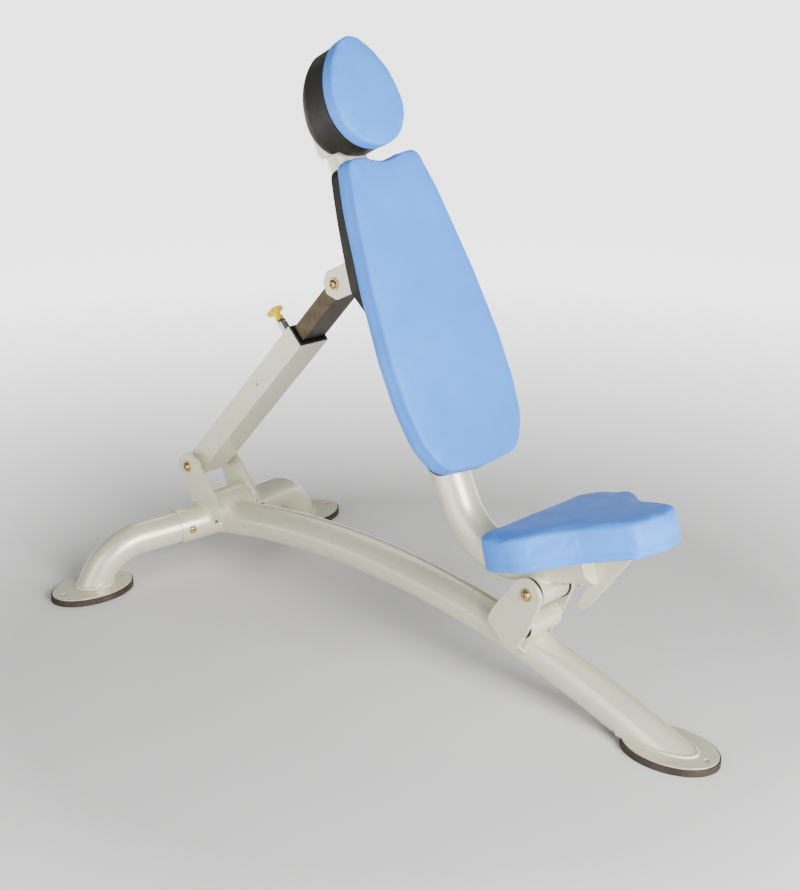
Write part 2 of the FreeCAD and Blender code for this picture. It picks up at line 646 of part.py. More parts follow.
def clevis():
    """U-shaped bracket behind the back tube that holds the top of the strut."""
    points = [("-main_tube_radius", "617"), ("-main_tube_radius", "558"), ("-108", "558"), ("-130", "577"),
              ("-130", "600"), ("-112", "617")]
    body = plate("clevis_block", "XZ_Plane", points, "2 * (clevis_inside + ear_thickness)", BACK,
                 radii={"6": [2, 3, 4, 5]}, symmetric=True)
    gap = block("clevis_gap", "120", "2 * clevis_inside", "120", BACK,
                (-size("main_tube_radius + clevis_web") - 120, -size("clevis_inside"), 530))
    tools = fuse("clevis_tools", gap, clevis_hole("clevis_bolt_hole"))
    subpart(cut("clevis", body, tools), "clevis_bracket")
    spacers = []
    for side in (-1, 1):
        start = 30.4 if side > 0 else -size("clevis_inside")
        disc = rod(f"clevis_disc{side > 0:d}", "14", "clevis_inside - 30.4", CLEVIS, (0, start, 0), (0, 1, 0))
        spacers.append(cut(f"clevis_spacer{side > 0:d}", disc, clevis_hole(f"clevis_disc_hole{side > 0:d}")))
    subpart(group("clevis_spacer_pair", *spacers), "clevis_spacers")


def clevis_hole(name):
    return cross_rod(name, "pin_radius + loose_gap", "120", CLEVIS)


def seat_hook():
    """Upright plate on the end of the seat tube: it props the board and ends in a hook."""
    points = [("frame_front + 4", "main_tube_radius"), ("frame_front + 4", "-34"), ("258", "-47"),
              ("243", "-64"), ("227", "-80"), ("238", "-90"), ("262", "-76"), ("307", "-42"), ("347", "-10"),
              ("368", "7"), ("368", "main_tube_radius")]
    plate_body = plate("hook_plate", "XZ_Plane", points, "8", SEAT, radii={"5": [4, 5]}, symmetric=True)
    tube = rod("hook_cut_tube", "main_tube_radius", "80", SEAT, (size("frame_front") - 76, 0, 0), (1, 0, 0))
    subpart(cut("hook", plate_body, tube), "seat_hook_plate")


def seat_outline(inset):
    """Broad at the rear with rounded hips, waisted, and narrow at the front."""
    half = [(f"seat_rear + {inset}", "0"), (f"seat_rear + 5 + {inset}", f"seat_half - {inset}"),
            ("seat_rear + 120", f"seat_half - {inset}"), ("seat_front - 126", f"seat_half - 65 - {inset}"),
            (f"seat_front - 20 - {inset}", f"62 - {inset}"), (f"seat_front - {inset}", "0")]
    return both_up(half)


def seat_pad():
    rounding = {"38": [1, 9], "60": [2, 8], "110": [3, 7], "24": [4, 6]}
    cushion = plate("seat_cushion_block", "XY_Plane", seat_outline(0), "seat_face - seat_skirt",
                    shifted(SEAT, up=size("seat_skirt")), radii=rounding, rims={"seat_face - seat_skirt": "12"})
    board = plate("seat_board_plate", "XY_Plane", seat_outline(16), "seat_board_thickness",
                  shifted(SEAT, up=size("main_tube_radius")),
                  radii={"24": [1, 9], "50": [2, 8], "110": [3, 7], "14": [4, 6]})
    holes = fuse("seat_board_holes", *[seat_bolt_hole(f"seat_board_hole_{i}", p)
                                       for i, p in enumerate(SEAT_BOLTS)])
    drilled = subpart(cut("seat_board_drilled", board, holes), "seat_board")
    room = block("seat_cushion_room", "seat_front - seat_rear - 20", "2 * main_tube_radius + 12", "80", SEAT,
                 (size("seat_rear") - 10, -size("main_tube_radius") - 6, size("main_tube_radius") - 80))
    subpart(cut("seat_cushion_cut", cushion, fuse("seat_cushion_tools", room, board)), "seat_cushion")
    return drilled


def back_pad():
    board_half = [("0", "back_top - 16"), ("back_top_half - 1", "back_top - 3"), ("back_wide_half - 14", "545"),
                  ("back_wide_half - 35", "495"), ("back_wide_half - 35", "250"), ("80", "back_bottom + 6"),
                  ("0", "back_bottom + 2")]
    board = plate("back_board_plate", "YZ_Plane", both(board_half), "board_front - main_tube_radius",
                  shifted(BACK, along=size("main_tube_radius")), bulges={1: "1700", 10: "1700"},
                  radii={"24": [1, 11], "20": [2, 3, 9, 10], "60": [4, 8], "40": [5, 7]})
    holes = fuse("back_board_holes", *[back_bolt_hole(f"back_board_hole_{i}", p)
                                       for i, p in enumerate(BACK_BOLTS)])
    subpart(cut("back_board_drilled", board, holes), "back_board")
    pad_half = [("0", "back_top - 13"), ("back_top_half", "back_top"), ("back_wide_half", "back_wide_high"),
                ("back_wide_half", "back_wide_low"), ("100", "back_bottom + 8"), ("0", "back_bottom")]
    pad = plate("back_cushion_pad", "YZ_Plane", both(pad_half), "back_face - board_front",
                shifted(BACK, along=size("board_front")), radii={"30": [1, 9], "45": [4, 6]},
                bulges={1: "1700", 3: "244", 6: "244", 8: "1700"}, rims={"back_face - board_front": "9"})
    subpart(pad, "back_cushion")


def head_plate(name, inset, start, end, rims):
    """Egg-shaped plate with its wide end down, made of arcs that meet smoothly."""
    half = [(f"24.1 - {inset}", f"89.6 - {inset}"), (f"81 - {inset}", "-28"), ("0", f"-107.5 + {inset}")]
    bulges = {0: f"150 - {inset}", 1: f"80.3 - {inset}", 2: f"80.3 - {inset}", 3: f"150 - {inset}",
              4: f"38.8 - {inset}"}
    return plate(name, "YZ_Plane", both(half), f"{end} - {start}",
                 shifted(BACK, along=size(start), up=size("head_middle")), bulges=bulges, rims=rims)


def head_pad():
    """Cushion, and a deep domed shell with a pocket for its bracket and the tube's end."""
    cushion = head_plate("head_cushion_pad", 0, "head_seam", "head_face", {"head_face - head_seam": "9"})
    subpart(cushion, "head_cushion")
    dome = head_plate("head_shell_pad", 1, "head_back", "head_seam", {"0": "28"})
    pocket = block("head_shell_pocket", "head_plate + 60", "2 * main_tube_radius + 16", "160", BACK,
                   (-60, -size("main_tube_radius") - 8, 770))
    subpart(cut("head_shell_cut", dome, pocket), "head_shell")


def head_bracket():
    """Two cheek plates bolted across the tube's top, and the plate under the shell."""
    points = [("-26", "812"), ("-26", "896"), ("8", "926"), ("38", "926"), ("38", "836"), ("20", "812")]
    for label, side in SIDES:
        middle = side * size("main_tube_radius + 3.3")
        cheek = plate(f"head_cheek_{label}", "XZ_Plane", points, "6", shifted(BACK, side=middle),
                      radii={"12": [0, 1, 5]}, symmetric=True)
        holes = fuse(f"head_cheek_holes_{label}",
                     *[cross_rod(f"head_cheek_hole_{label}_{i}", "4.3", "120", BACK, *place)
                       for i, place in enumerate(HEAD_BOLTS)])
        subpart(cut(f"head_cheek_drilled_{label}", cheek, holes), f"head_bracket_{label}")
    mount = block("head_mount", "head_plate - main_tube_radius", "2 * main_tube_radius + 14", "96", BACK,
                  (size("main_tube_radius"), -size("main_tube_radius") - 7, 830))
    subpart(mount, "head_mount_plate")
    spacer = cut("head_spacer_tube", cross_rod("head_spacer_outer", "8", "76", BACK, *HEAD_BOLTS[1]),
                 cross_rod("head_spacer_bore", "4.3", "80", BACK, *HEAD_BOLTS[1]))
    subpart(spacer, "head_spacer")
    bolts = []
    for i, place in enumerate(HEAD_BOLTS):
        frame = shifted(BACK, along=place[0], up=place[1])
        shaft = cross_rod(f"head_bolt_shaft_{i}", "4", "96", frame)
        nut = hexagon(f"head_bolt_nut_{i}", "6", frame, (0, 44.4, 0), (0, 1, 0))
        bolts.append(fuse(f"head_bolt_{i}", shaft, domed_head(f"head_bolt_head_{i}", frame, (0, -44.4, 0), (0, -1, 0)),
                          nut))
    subpart(group("head_bolt_pair", *bolts), "head_bolts")


# Strut -------------------------------------------------------------------------------------

def strut_block(name, start, length, width, depth):
    """Box along the strut, centred on its axis."""
    return block(name, length, width, depth, STRUT, (start, -size(width) / 2, -size(depth) / 2))


def pull_pin_hole(name, start):
    """Hole for the pull pin, upwards from a height above the strut's axis."""
    return rod(name, "pull_pin_radius + loose_gap", "60", STRUT, (size("pull_pin_place"), 0, start), (0, 0, 1))


def strut_outer():
    start = -size("strut_outer_back")
    body = strut_block("outer_solid", start, "strut_mouth + strut_outer_back", "strut_outer_width",
                       "strut_outer_depth")
    rounded = doc.addObject("Part::Fillet", "outer_rounded")
    rounded.Base = body
    doc.recompute()
    low_corner = [number for number, edge in enumerate(body.Shape.Edges, start=1)
                  if edge.CenterOfMass.distanceToPoint(point(STRUT, start, 0, -size("strut_outer_depth") / 2)) < 0.1]
    rounded.Edges = [(number, 24, 24) for number in low_corner]
    bore = strut_block("outer_bore", start - 1, "strut_mouth + strut_outer_back + 2",
                       "strut_outer_width - 2 * strut_outer_wall", "strut_outer_depth - 2 * strut_outer_wall")
    tools = fuse("outer_tools", bore, pull_pin_hole("outer_pin_hole", 0),
                 cross_rod("outer_barrel_hole", "strut_barrel_radius", "120", STRUT),
                 cross_rod("outer_screw_hole", "3.1", "120", STRUT, size("guide_screw_place")))
    subpart(cut("outer", rounded, tools), "strut_outer_tube")
    subpart(cut("strut_barrel_tube", cross_rod("strut_barrel_outer", "strut_barrel_radius", "strut_barrel_width", STRUT),
                cross_rod("strut_barrel_inner", "strut_barrel_bore", "strut_barrel_width + 4", STRUT)),
            "strut_barrel")


def strut_liner():
    """Plastic liner in the mouth of the outer tube, with a lip that shows, and the two
    screws that hold the lower guide."""
    start = size("strut_mouth - liner_length")
    inside = strut_block("liner_inside", start, "liner_length", "strut_outer_width - 2 * strut_outer_wall",
                         "strut_outer_depth - 2 * strut_outer_wall")
    lip = strut_block("liner_lip_block", size("strut_mouth"), "liner_lip", "strut_outer_width - 2",
                      "strut_outer_depth - 2")
    bore = strut_block("liner_bore", start - 1, "liner_length + liner_lip + 2",
                       "strut_inner_width + 2 * liner_gap", "strut_inner_depth + 2 * liner_gap")
    tools = fuse("liner_tools", bore, pull_pin_hole("liner_pin_hole", 0))
    subpart(cut("liner", fuse("liner_solid", inside, lip), tools), "strut_liner")
    outside = size("strut_outer_width") / 2
    screws = [rod(f"guide_screw{side > 0:d}", "2.8", "4.5", STRUT,
                  (size("guide_screw_place"), outside - 3 if side > 0 else -outside - 1.5, 0), (0, 1, 0))
              for side in (-1, 1)]
    subpart(group("guide_screw_pair", *screws), "guide_screws")


def strut_inner():
    start = size("strut_inner_low")
    reach = size("strut_reach")
    length = "strut_reach + strut_inner_past - strut_inner_low"
    body = strut_block("inner_solid", start, length, "strut_inner_width", "strut_inner_depth")
    bore = strut_block("inner_bore", start - 1, f"{length} + 2", "strut_inner_width - 2 * strut_inner_wall",
                       "strut_inner_depth - 2 * strut_inner_wall")
    slot = block("inner_slot", "2 * pin_radius + 1.2", "100", "slot_up + slot_down", STRUT,
                 (reach - size("pin_radius") - 0.6, -50, -size("slot_down")))
    holes = [rod(f"index_hole_{i}", "index_radius", "40", STRUT,
                 (size("pull_pin_place") + i * size("index_pitch"), 0, 0), (0, 0, 1)) for i in range(-4, 6)]
    subpart(cut("inner", body, fuse("inner_tools", bore, slot, *holes)), "strut_inner_tube")
    plug = strut_block("inner_plug", start - 4, "24", "strut_inner_width - 2 * strut_inner_wall",
                       "strut_inner_depth - 2 * strut_inner_wall")
    subpart(plug, "strut_inner_plug")


def pull_pin():
    """Spring pin on top of the outer tube: housing, spring, pin and knob."""
    place = size("pull_pin_place")
    top = size("strut_outer_depth") / 2
    crown = top + size("housing_height")
    body = rod("housing_outer", "housing_radius", "housing_height", STRUT, (place, 0, top), (0, 0, 1))
    bore = rod("housing_inner", "housing_bore", "housing_height - 6", STRUT, (place, 0, top + 3), (0, 0, 1))
    subpart(cut("housing", body, fuse("housing_tools", bore, pull_pin_hole("housing_pin_hole", top - 1))),
            "pin_housing")
    shaft = rod("pin_shaft_rod", "pull_pin_radius", "59", STRUT, (place, 0, 17.6), (0, 0, 1))
    collar = rod("pin_collar", "housing_bore - 0.4", "4", STRUT, (place, 0, top + 6), (0, 0, 1))
    subpart(fuse("pin_shaft", shaft, collar), "pull_pin_shaft")
    profile = ((1, 8, 10, 14), (15, 10, "knob_radius", 5), (20, "knob_radius", 13, 6))
    cones = []
    for i, (rise, low, high, height) in enumerate(profile):
        cone = make("Part::Cone", f"knob_cone_{i}", Radius1=str(low), Radius2=str(high), Height=str(height))
        cone.Placement = shifted(STRUT, along=place, up=crown + rise)
        cones.append(cone)
    socket = rod("knob_socket", "pull_pin_radius", "9.6", STRUT, (place, 0, crown - 2), (0, 0, 1))
    subpart(cut("knob", fuse("knob_solid", *cones), socket), "pull_knob")
    spring = doc.addObject("PartDesign::Body", "spring_body")
    wire = spring.newObject("Sketcher::SketchObject", "spring_wire")
    wire.AttachmentSupport = [(plane_of(spring, "XZ_Plane"), "")]
    wire.MapMode = "FlatFace"
    wire.addGeometry(Part.Circle(Vector(6, 0, 0), Vector(0, 0, 1), 0.8), False)
    for terms in (("PointOnObject", 0, 3, -1), ("DistanceX", -1, 1, 0, 3, 6), ("Radius", 0, 0.8)):
        constrain(wire, *terms)
    coil = spring.newObject("PartDesign::AdditiveHelix", "spring_coil")
    coil.Profile = wire
    coil.ReferenceAxis = (wire, ["V_Axis"])
    coil.Pitch = 3.4
    coil.Height = 13.6
    spring.Placement = shifted(STRUT, along=place, up=top + 23)
    subpart(spring, "pin_spring")


# Fasteners and bushes --------------------------------------------------------------------

def domed_head(name, frame, start, along):
    item = make("Part::Cone", name, Radius1="head_radius", Radius2="head_radius * 0.55", Height="head_height")
    item.Placement = frame.multiply(Placement(Vector(*start), Rotation(Vector(0, 0, 1), Vector(*along))))
    return item


def hexagon(name, height, frame, start, along):
    item = make("Part::Prism", name, Circumradius="nut_radius", Height=height)
    item.Placement = frame.multiply(Placement(Vector(*start), Rotation(Vector(0, 0, 1), Vector(*along))))
    return item


def pivot_bolt(name, frame, half_grip):
    """Cross bolt with a domed head at -Y; returns its two washers and its nut."""
    inner = size(half_grip)
    outer = size(f"{half_grip} + washer_thickness")
    shaft = rod(name + "_shaft", "pin_radius", f"2 * ({half_grip} + washer_thickness) + nut_height + 2", frame,
                (0, -outer, 0), (0, 1, 0))
    head = domed_head(name + "_head", frame, (0, -outer, 0), (0, -1, 0))
    subpart(fuse(name + "_solid", shaft, head), name)
    washers = []
    for side in (-1, 1):
        disc = rod(f"{name}_disc{side > 0:d}", "washer_radius", "washer_thickness", frame,
                   (0, inner if side > 0 else -outer, 0), (0, 1, 0))
        hole = rod(f"{name}_disc_hole{side > 0:d}", "pin_radius + loose_gap", "washer_thickness + 2", frame,
                   (0, (inner if side > 0 else -outer) - 1, 0), (0, 1, 0))
        washers.append(cut(f"{name}_washer{side > 0:d}", disc, hole))
    nut_hole = rod(name + "_nut_hole", "pin_radius", "nut_height + 4", frame, (0, outer - 2, 0), (0, 1, 0))
    nut = cut(name + "_nut", hexagon(name + "_hexagon", "nut_height", frame, (0, outer, 0), (0, 1, 0)), nut_hole)
    return washers, nut


def pivot_bolts():
    rear_washers, rear_nut = pivot_bolt("rear_pivot_bolt", STRUT, "rear_ear_inside + ear_thickness")
    front_washers, front_nut = pivot_bolt("front_pivot_bolt", PIVOT, "front_ear_inside + ear_thickness")
    clevis_washers, clevis_nut = pivot_bolt("clevis_bolt", CLEVIS, "clevis_inside + ear_thickness")
    subpart(group("base_washers", *rear_washers, *front_washers), "pivot_washers")
    subpart(group("base_nuts", rear_nut, front_nut), "pivot_nuts")
    subpart(group("upper_washers", *clevis_washers), "clevis_washers")
    subpart(clevis_nut, "clevis_nut")


def flanged_bushes(name, frame, half_width, bore, flange_radius):
    """A pair of bushes: a plug in each end of a barrel, with a flange outside."""
    half = size(half_width)
    pieces = []
    for side in (-1, 1):
        plug = rod(f"{name}_plug{side > 0:d}", bore, "22", frame, (0, half - 22 if side > 0 else -half, 0), (0, 1, 0))
        flange = rod(f"{name}_flange{side > 0:d}", flange_radius, "flange_thickness", frame,
                     (0, half if side > 0 else -half - size("flange_thickness"), 0), (0, 1, 0))
        hole = cross_rod(f"{name}_hole{side > 0:d}", "pin_radius + pin_running_gap", "140", frame)
        pieces.append(cut(f"{name}_bush{side > 0:d}", fuse(f"{name}_solid{side > 0:d}", plug, flange), hole))
    subpart(group(name + "_pair", *pieces), name)


def build():
    main_beam()
    rear_ears = {side: ear(f"rear_ear_{label}", REAR_EAR, "rear_ear_inside", side, "rear_ear_length")
                 for label, side in SIDES}
    for label, side in SIDES:
        ear(f"front_ear_{label}", FRONT_EAR, "front_ear_inside", side, "front_ear_length")
    cross_tubes()
    leg_sleeves(rear_ears)
    legs()
    sleeve_bolts()
    feet()
    back_seat_tube()
    pivot_barrel()
    flanged_bushes("front_pivot_bushes", PIVOT, "barrel_width / 2", "barrel_bore", "31")
    clevis()
    seat_hook()
    seat_pad()
    back_pad()
    pad_bolts()
    head_pad()
    head_bracket()
    strut_outer()
    flanged_bushes("strut_bushes", STRUT, "strut_barrel_width / 2", "strut_barrel_bore", "21")
    strut_liner()
    strut_inner()
    pull_pin()
    pivot_bolts()


def save():
    doc.recompute()
    failed = [item.Label for item in doc.Objects if {"Invalid", "Error"} & set(item.State)]
    if failed:
        raise RuntimeError(f"failed: {failed}")
    os.makedirs("parts", exist_ok=True)
    for item in SUBPARTS:
        if item.Shape.isNull() or not item.Shape.isValid() or not item.Shape.Solids:
            raise RuntimeError(f"{item.Label} has no valid solid")
        item.Shape.exportStep(f"parts/{item.Label}.step")
    print(len(SUBPARTS), "sub-parts written")


build()
save()
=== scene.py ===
"""Looks of the adjustable weight bench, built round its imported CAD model.

Lengths in this script are millimetres in the local frames below, and metres in the scene.
"""

import json
import math

import bmesh
import bpy
from mathutils import Matrix, Vector, noise
from mathutils.bvhtree import BVHTree


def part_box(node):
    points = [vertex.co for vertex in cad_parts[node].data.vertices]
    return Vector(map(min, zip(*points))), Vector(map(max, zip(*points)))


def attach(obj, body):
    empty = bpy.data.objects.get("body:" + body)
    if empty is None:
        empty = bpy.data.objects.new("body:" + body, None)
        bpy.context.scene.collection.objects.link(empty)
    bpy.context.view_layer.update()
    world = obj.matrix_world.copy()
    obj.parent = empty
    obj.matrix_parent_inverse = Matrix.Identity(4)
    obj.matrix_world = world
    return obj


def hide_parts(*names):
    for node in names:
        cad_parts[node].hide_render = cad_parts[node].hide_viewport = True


MM = 0.001
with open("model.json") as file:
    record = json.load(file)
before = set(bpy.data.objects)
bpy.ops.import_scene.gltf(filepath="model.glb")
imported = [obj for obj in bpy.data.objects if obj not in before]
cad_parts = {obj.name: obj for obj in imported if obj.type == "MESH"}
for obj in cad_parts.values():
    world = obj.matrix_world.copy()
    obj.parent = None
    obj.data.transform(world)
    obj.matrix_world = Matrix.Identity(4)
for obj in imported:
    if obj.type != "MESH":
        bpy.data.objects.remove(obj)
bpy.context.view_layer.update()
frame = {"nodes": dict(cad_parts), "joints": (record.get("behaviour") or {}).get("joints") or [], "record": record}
nodes = frame["nodes"]
joints = {joint["name"]: joint for joint in frame["joints"]}


# Local frames --------------------------------------------------------------------------

def local_frame(forward, height, degrees):
    """Frame in the mirror plane whose X axis rises by degrees; Y stays across the bench."""
    c, s = math.cos(math.radians(degrees)), math.sin(math.radians(degrees))
    return Matrix(((c, 0, -s, forward * MM), (0, 1, 0, 0), (s, 0, c, height * MM), (0, 0, 0, 1)))


def joint_place(name):
    """(X, Z) of a hinge in millimetres."""
    x, _, z = joints[name]["pos_m"]
    return x / MM, z / MM


# The back's frame has X out of the back pad and Z up along the bent tube; the seat's frame has
# X forwards and Z up. Both start at the corner of the bent tube.
CORNER = (179.9, 235.5)
BACK = local_frame(*CORNER, 26)
SEAT = local_frame(*CORNER, 15)
FRONT_PIVOT = local_frame(*joint_place("back_pivot"), 0)
slide_axis = joints["strut_slide"]["axis"]
STRUT = local_frame(*joint_place("strut_pivot"), math.degrees(math.atan2(slide_axis[2], slide_axis[0])))
CLEVIS = BACK @ Matrix.Translation(Vector((-101.2, 0, 588.4)) * MM)


def place(matrix, point):
    return matrix @ (Vector(point) * MM)


def axis_frame(origin, direction):
    """Frame at a scene point with its Z axis along a direction."""
    turn = Vector(direction).to_track_quat("Z", "Y").to_matrix().to_4x4()
    return Matrix.Translation(origin) @ turn


# Materials -------------------------------------------------------------------------------

class Look:
    """A node material, built with short calls."""

    def __init__(self, name, **principled):
        self.material = bpy.data.materials.new(name)
        self.material.use_nodes = True
        self.tree = self.material.node_tree
        self.shader = self.tree.nodes["Principled BSDF"]
        for key, value in principled.items():
            self.shader.inputs[key.replace("_", " ").title().replace("Ior", "IOR")].default_value = value
        self.place = self.node("ShaderNodeTexCoord").outputs["Object"]

    def node(self, kind, links=(), **values):
        made = self.tree.nodes.new(kind)
        for key, value in values.items():
            if key in made.inputs:
                made.inputs[key].default_value = value
            else:
                setattr(made, key, value)
        for socket, source in links:
            self.tree.links.new(source, made.inputs[socket])
        return made

    def noise(self, scale, detail=3.0, roughness=0.5, stretch=None):
        source = self.place
        if stretch:
            source = self.node("ShaderNodeMapping", [("Vector", source)], Scale=stretch).outputs["Vector"]
        made = self.node("ShaderNodeTexNoise", [("Vector", source)], Scale=scale, Detail=detail,
                         Roughness=roughness)
        return made.outputs["Fac"]

    def cells(self, scale):
        return self.node("ShaderNodeTexVoronoi", [("Vector", self.place)], Scale=scale).outputs["Distance"]

    def ramp(self, source, *stops):
        made = self.node("ShaderNodeValToRGB", [("Fac", source)])
        ramp = made.color_ramp
        while len(ramp.elements) < len(stops):
            ramp.elements.new(0.5)
        for element, (position, colour) in zip(ramp.elements, stops):
            element.position = position
            element.color = (*colour, 1) if isinstance(colour, tuple) else (colour,) * 3 + (1,)
        return made.outputs["Color"]

    def mix(self, factor, first, second):
        made = self.tree.nodes.new("ShaderNodeMix")
        made.data_type = "RGBA"
        for socket, value in ((0, factor), (6, first), (7, second)):
            if isinstance(value, bpy.types.NodeSocket):
                self.tree.links.new(value, made.inputs[socket])
            else:
                made.inputs[socket].default_value = (*value, 1) if isinstance(value, tuple) else value
        return made.outputs[2]

    def add(self, first, second, weight):
        """first + weight * second, for heights."""
        made = self.node("ShaderNodeMath", [(0, second), (2, first)], operation="MULTIPLY_ADD")
        made.inputs[1].default_value = weight
        return made.outputs[0]

    def bump(self, height, distance, strength=1.0):
        made = self.node("ShaderNodeBump", [("Height", height)], Strength=strength, Distance=distance)
        self.tree.links.new(made.outputs["Normal"], self.shader.inputs["Normal"])

    def link(self, source, socket):
        self.tree.links.new(source, self.shader.inputs[socket])


def paint_look():
    """Silver-beige powder coat: orange peel, fine flake, faint scuffs and dust."""
    look = Look("silver_beige_paint", metallic=0.30, coat_weight=0.6, coat_roughness=0.14,
                specular_ior_level=0.5)
    cloud = look.ramp(look.noise(5, 3), (0.35, (0.66, 0.63, 0.46)), (0.65, (0.72, 0.69, 0.51)))
    grain = look.noise(1500, 1)
    colour = look.mix(look.ramp(grain, (0.35, 0.0), (0.75, 0.35)), cloud, (0.78, 0.76, 0.62))
    scuffs = look.ramp(look.noise(46, 6, 0.7, (1, 1, 5)), (0.70, 0.0), (0.80, 0.12))
    look.link(look.mix(scuffs, colour, (0.34, 0.31, 0.22)), "Base Color")
    look.link(look.ramp(look.noise(38, 3, 0.6), (0.3, 0.27), (0.7, 0.40)), "Roughness")
    look.bump(look.add(look.noise(420, 1), grain, 0.25), 0.00022, 0.5)
    return look.material


def vinyl_look(name, base, deep):
    """Upholstery vinyl: pebbled grain, soft cloudiness and slightly glossier rubbed areas."""
    look = Look(name, specular_ior_level=0.22)
    cells = look.cells(820)
    colour = look.ramp(look.noise(9, 4, 0.6), (0.32, deep), (0.68, base))
    pits = look.ramp(cells, (0.25, 0.0), (0.75, 0.22))
    look.link(look.mix(pits, colour, tuple(0.62 * c for c in deep)), "Base Color")
    look.link(look.ramp(look.noise(24, 3, 0.6), (0.3, 0.42), (0.7, 0.56)), "Roughness")
    look.bump(look.add(look.noise(130, 3), cells, -0.55), 0.0004, 0.5)
    return look.material


def moulded_look(name, colour, light, roughness=(0.42, 0.6), grain=700, depth=0.00025):
    """Moulded plastic or rubber: fine spark texture, worn lighter in patches."""
    look = Look(name, specular_ior_level=0.3)
    look.link(look.ramp(look.noise(21, 6, 0.65), (0.35, colour), (0.8, light)), "Base Color")
    look.link(look.ramp(look.noise(60, 3), (0.3, roughness[0]), (0.7, roughness[1])), "Roughness")
    look.bump(look.noise(grain, 3, 0.7), depth, 0.6)
    return look.material


def metal_look(name, colour, dark, roughness=(0.2, 0.4), streak=(1, 1, 14), scale=70):
    """Plated or turned metal with fine streaks and stains."""
    look = Look(name, metallic=1.0)
    look.link(look.ramp(look.noise(33, 5, 0.65), (0.3, dark), (0.62, colour)), "Base Color")
    streaks = look.noise(scale, 4, 0.7, streak)
    look.link(look.ramp(streaks, (0.3, roughness[0]), (0.7, roughness[1])), "Roughness")
    look.bump(streaks, 0.00006, 0.5)
    return look.material


def knob_look():
    """Glossy yellow plastic, a little uneven in colour."""
    look = Look("yellow_plastic", specular_ior_level=0.25, coat_weight=0.1, coat_roughness=0.1)
    look.link(look.ramp(look.noise(60, 4), (0.3, (0.88, 0.58, 0.0)), (0.7, (1.0, 0.70, 0.0))), "Base Color")
    look.link(look.ramp(look.noise(90, 3), (0.3, 0.2), (0.7, 0.34)), "Roughness")
    look.bump(look.noise(500, 2), 0.0001, 0.4)
    return look.material


LOOKS = {
    "paint": paint_look(),
    "vinyl": vinyl_look("blue_vinyl", (0.062, 0.275, 0.860), (0.048, 0.240, 0.800)),
    "shell": moulded_look("brown_black_shell", (0.007, 0.0055, 0.0035), (0.015, 0.012, 0.008)),
    "foot_rubber": moulded_look("foot_rubber", (0.034, 0.025, 0.019), (0.085, 0.066, 0.047), (0.6, 0.85),
                                420, 0.0005),
    "black_plastic": moulded_look("black_plastic", (0.012, 0.012, 0.012), (0.03, 0.03, 0.03), (0.35, 0.5)),
    "zinc": metal_look("yellow_zinc", (0.66, 0.48, 0.21), (0.36, 0.23, 0.085), (0.22, 0.42)),
    "plated_tube": metal_look("bronze_plating", (0.085, 0.066, 0.040), (0.047, 0.037, 0.023), (0.26, 0.44),
                              (9, 9, 1)),
    "pin_steel": metal_look("turned_steel", (0.80, 0.78, 0.74), (0.55, 0.52, 0.47), (0.12, 0.28)),
    "yellow_knob": knob_look(),
}
THREAD = vinyl_look("blue_thread", (0.045, 0.200, 0.640), (0.035, 0.170, 0.560))


# Mesh tools ------------------------------------------------------------------------------

def add_piece(name, mesh, body, slot, replaces=(), look=None):
    """Object for a finished mesh in scene coordinates, riding on a CAD body."""
    mesh.materials.clear()
    mesh.materials.append(look or LOOKS[slot])
    obj = bpy.data.objects.new(name, mesh)
    bpy.context.scene.collection.objects.link(obj)
    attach(obj, body)
    if replaces:
        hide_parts(*replaces)
    return obj


def make_mesh(name, points, faces, sharp=None, merge=True):
    """Smooth mesh with outward normals; edges steeper than sharp degrees stay crisp."""
    mesh = bpy.data.meshes.new(name)
    mesh.from_pydata(points, [], faces)
    bm = bmesh.new()
    bm.from_mesh(mesh)
    if merge:
        bmesh.ops.remove_doubles(bm, verts=bm.verts, dist=1e-7)
    bmesh.ops.recalc_face_normals(bm, faces=bm.faces)
    bm.to_mesh(mesh)
    bm.free()
    mesh.polygons.foreach_set("use_smooth", [True] * len(mesh.polygons))
    if sharp:
        mesh.set_sharp_from_angle(angle=math.radians(sharp))
    return mesh


CRISP_ANGLE = 38


def join_meshes(name, meshes):
    """One mesh out of several."""
    points, faces = [], []
    for mesh in meshes:
        start = len(points)
        points += [v.co.copy() for v in mesh.vertices]
        faces += [[start + i for i in p.vertices] for p in mesh.polygons]
        bpy.data.meshes.remove(mesh)
    return make_mesh(name, points, faces, sharp=CRISP_ANGLE)


def grid_faces(rings, count, start=0):
    """Quads between closed rings of count points each."""
    return [(start + r * count + i, start + r * count + (i + 1) % count,
             start + (r + 1) * count + (i + 1) % count, start + (r + 1) * count + i)
            for r in range(rings - 1) for i in range(count)]


def lathe(name, matrix, profile, segments=40, wobble=None):
    """Solid of revolution about the Z axis of a frame. Profile holds (radius, height);
    wobble(angle, index) scales a radius."""
    points, faces, rows = [], [], []
    for index, (radius, height) in enumerate(profile):
        if radius < 1e-6:
            rows.append([len(points)])
            points.append(place(matrix, (0, 0, height)))
            continue
        row = []
        for i in range(segments):
            angle = math.tau * i / segments
            r = radius * (wobble(angle, index) if wobble else 1)
            row.append(len(points))
            points.append(place(matrix, (r * math.cos(angle), r * math.sin(angle), height)))
        rows.append(row)
    for low, high in zip(rows, rows[1:]):
        for i in range(segments):
            a, b = low[i % len(low)], low[(i + 1) % len(low)]
            c, d = high[(i + 1) % len(high)], high[i % len(high)]
            face = list(dict.fromkeys((a, b, c, d)))
            if len(face) > 2:
                faces.append(face)
    return make_mesh(name, points, faces, sharp=CRISP_ANGLE)


def running_lengths(points, unit=1):
    """Distance along a path at each of its points."""
    lengths = [0.0]
    for a, b in zip(points, points[1:]):
        lengths.append(lengths[-1] + (b - a).length / unit)
    return lengths


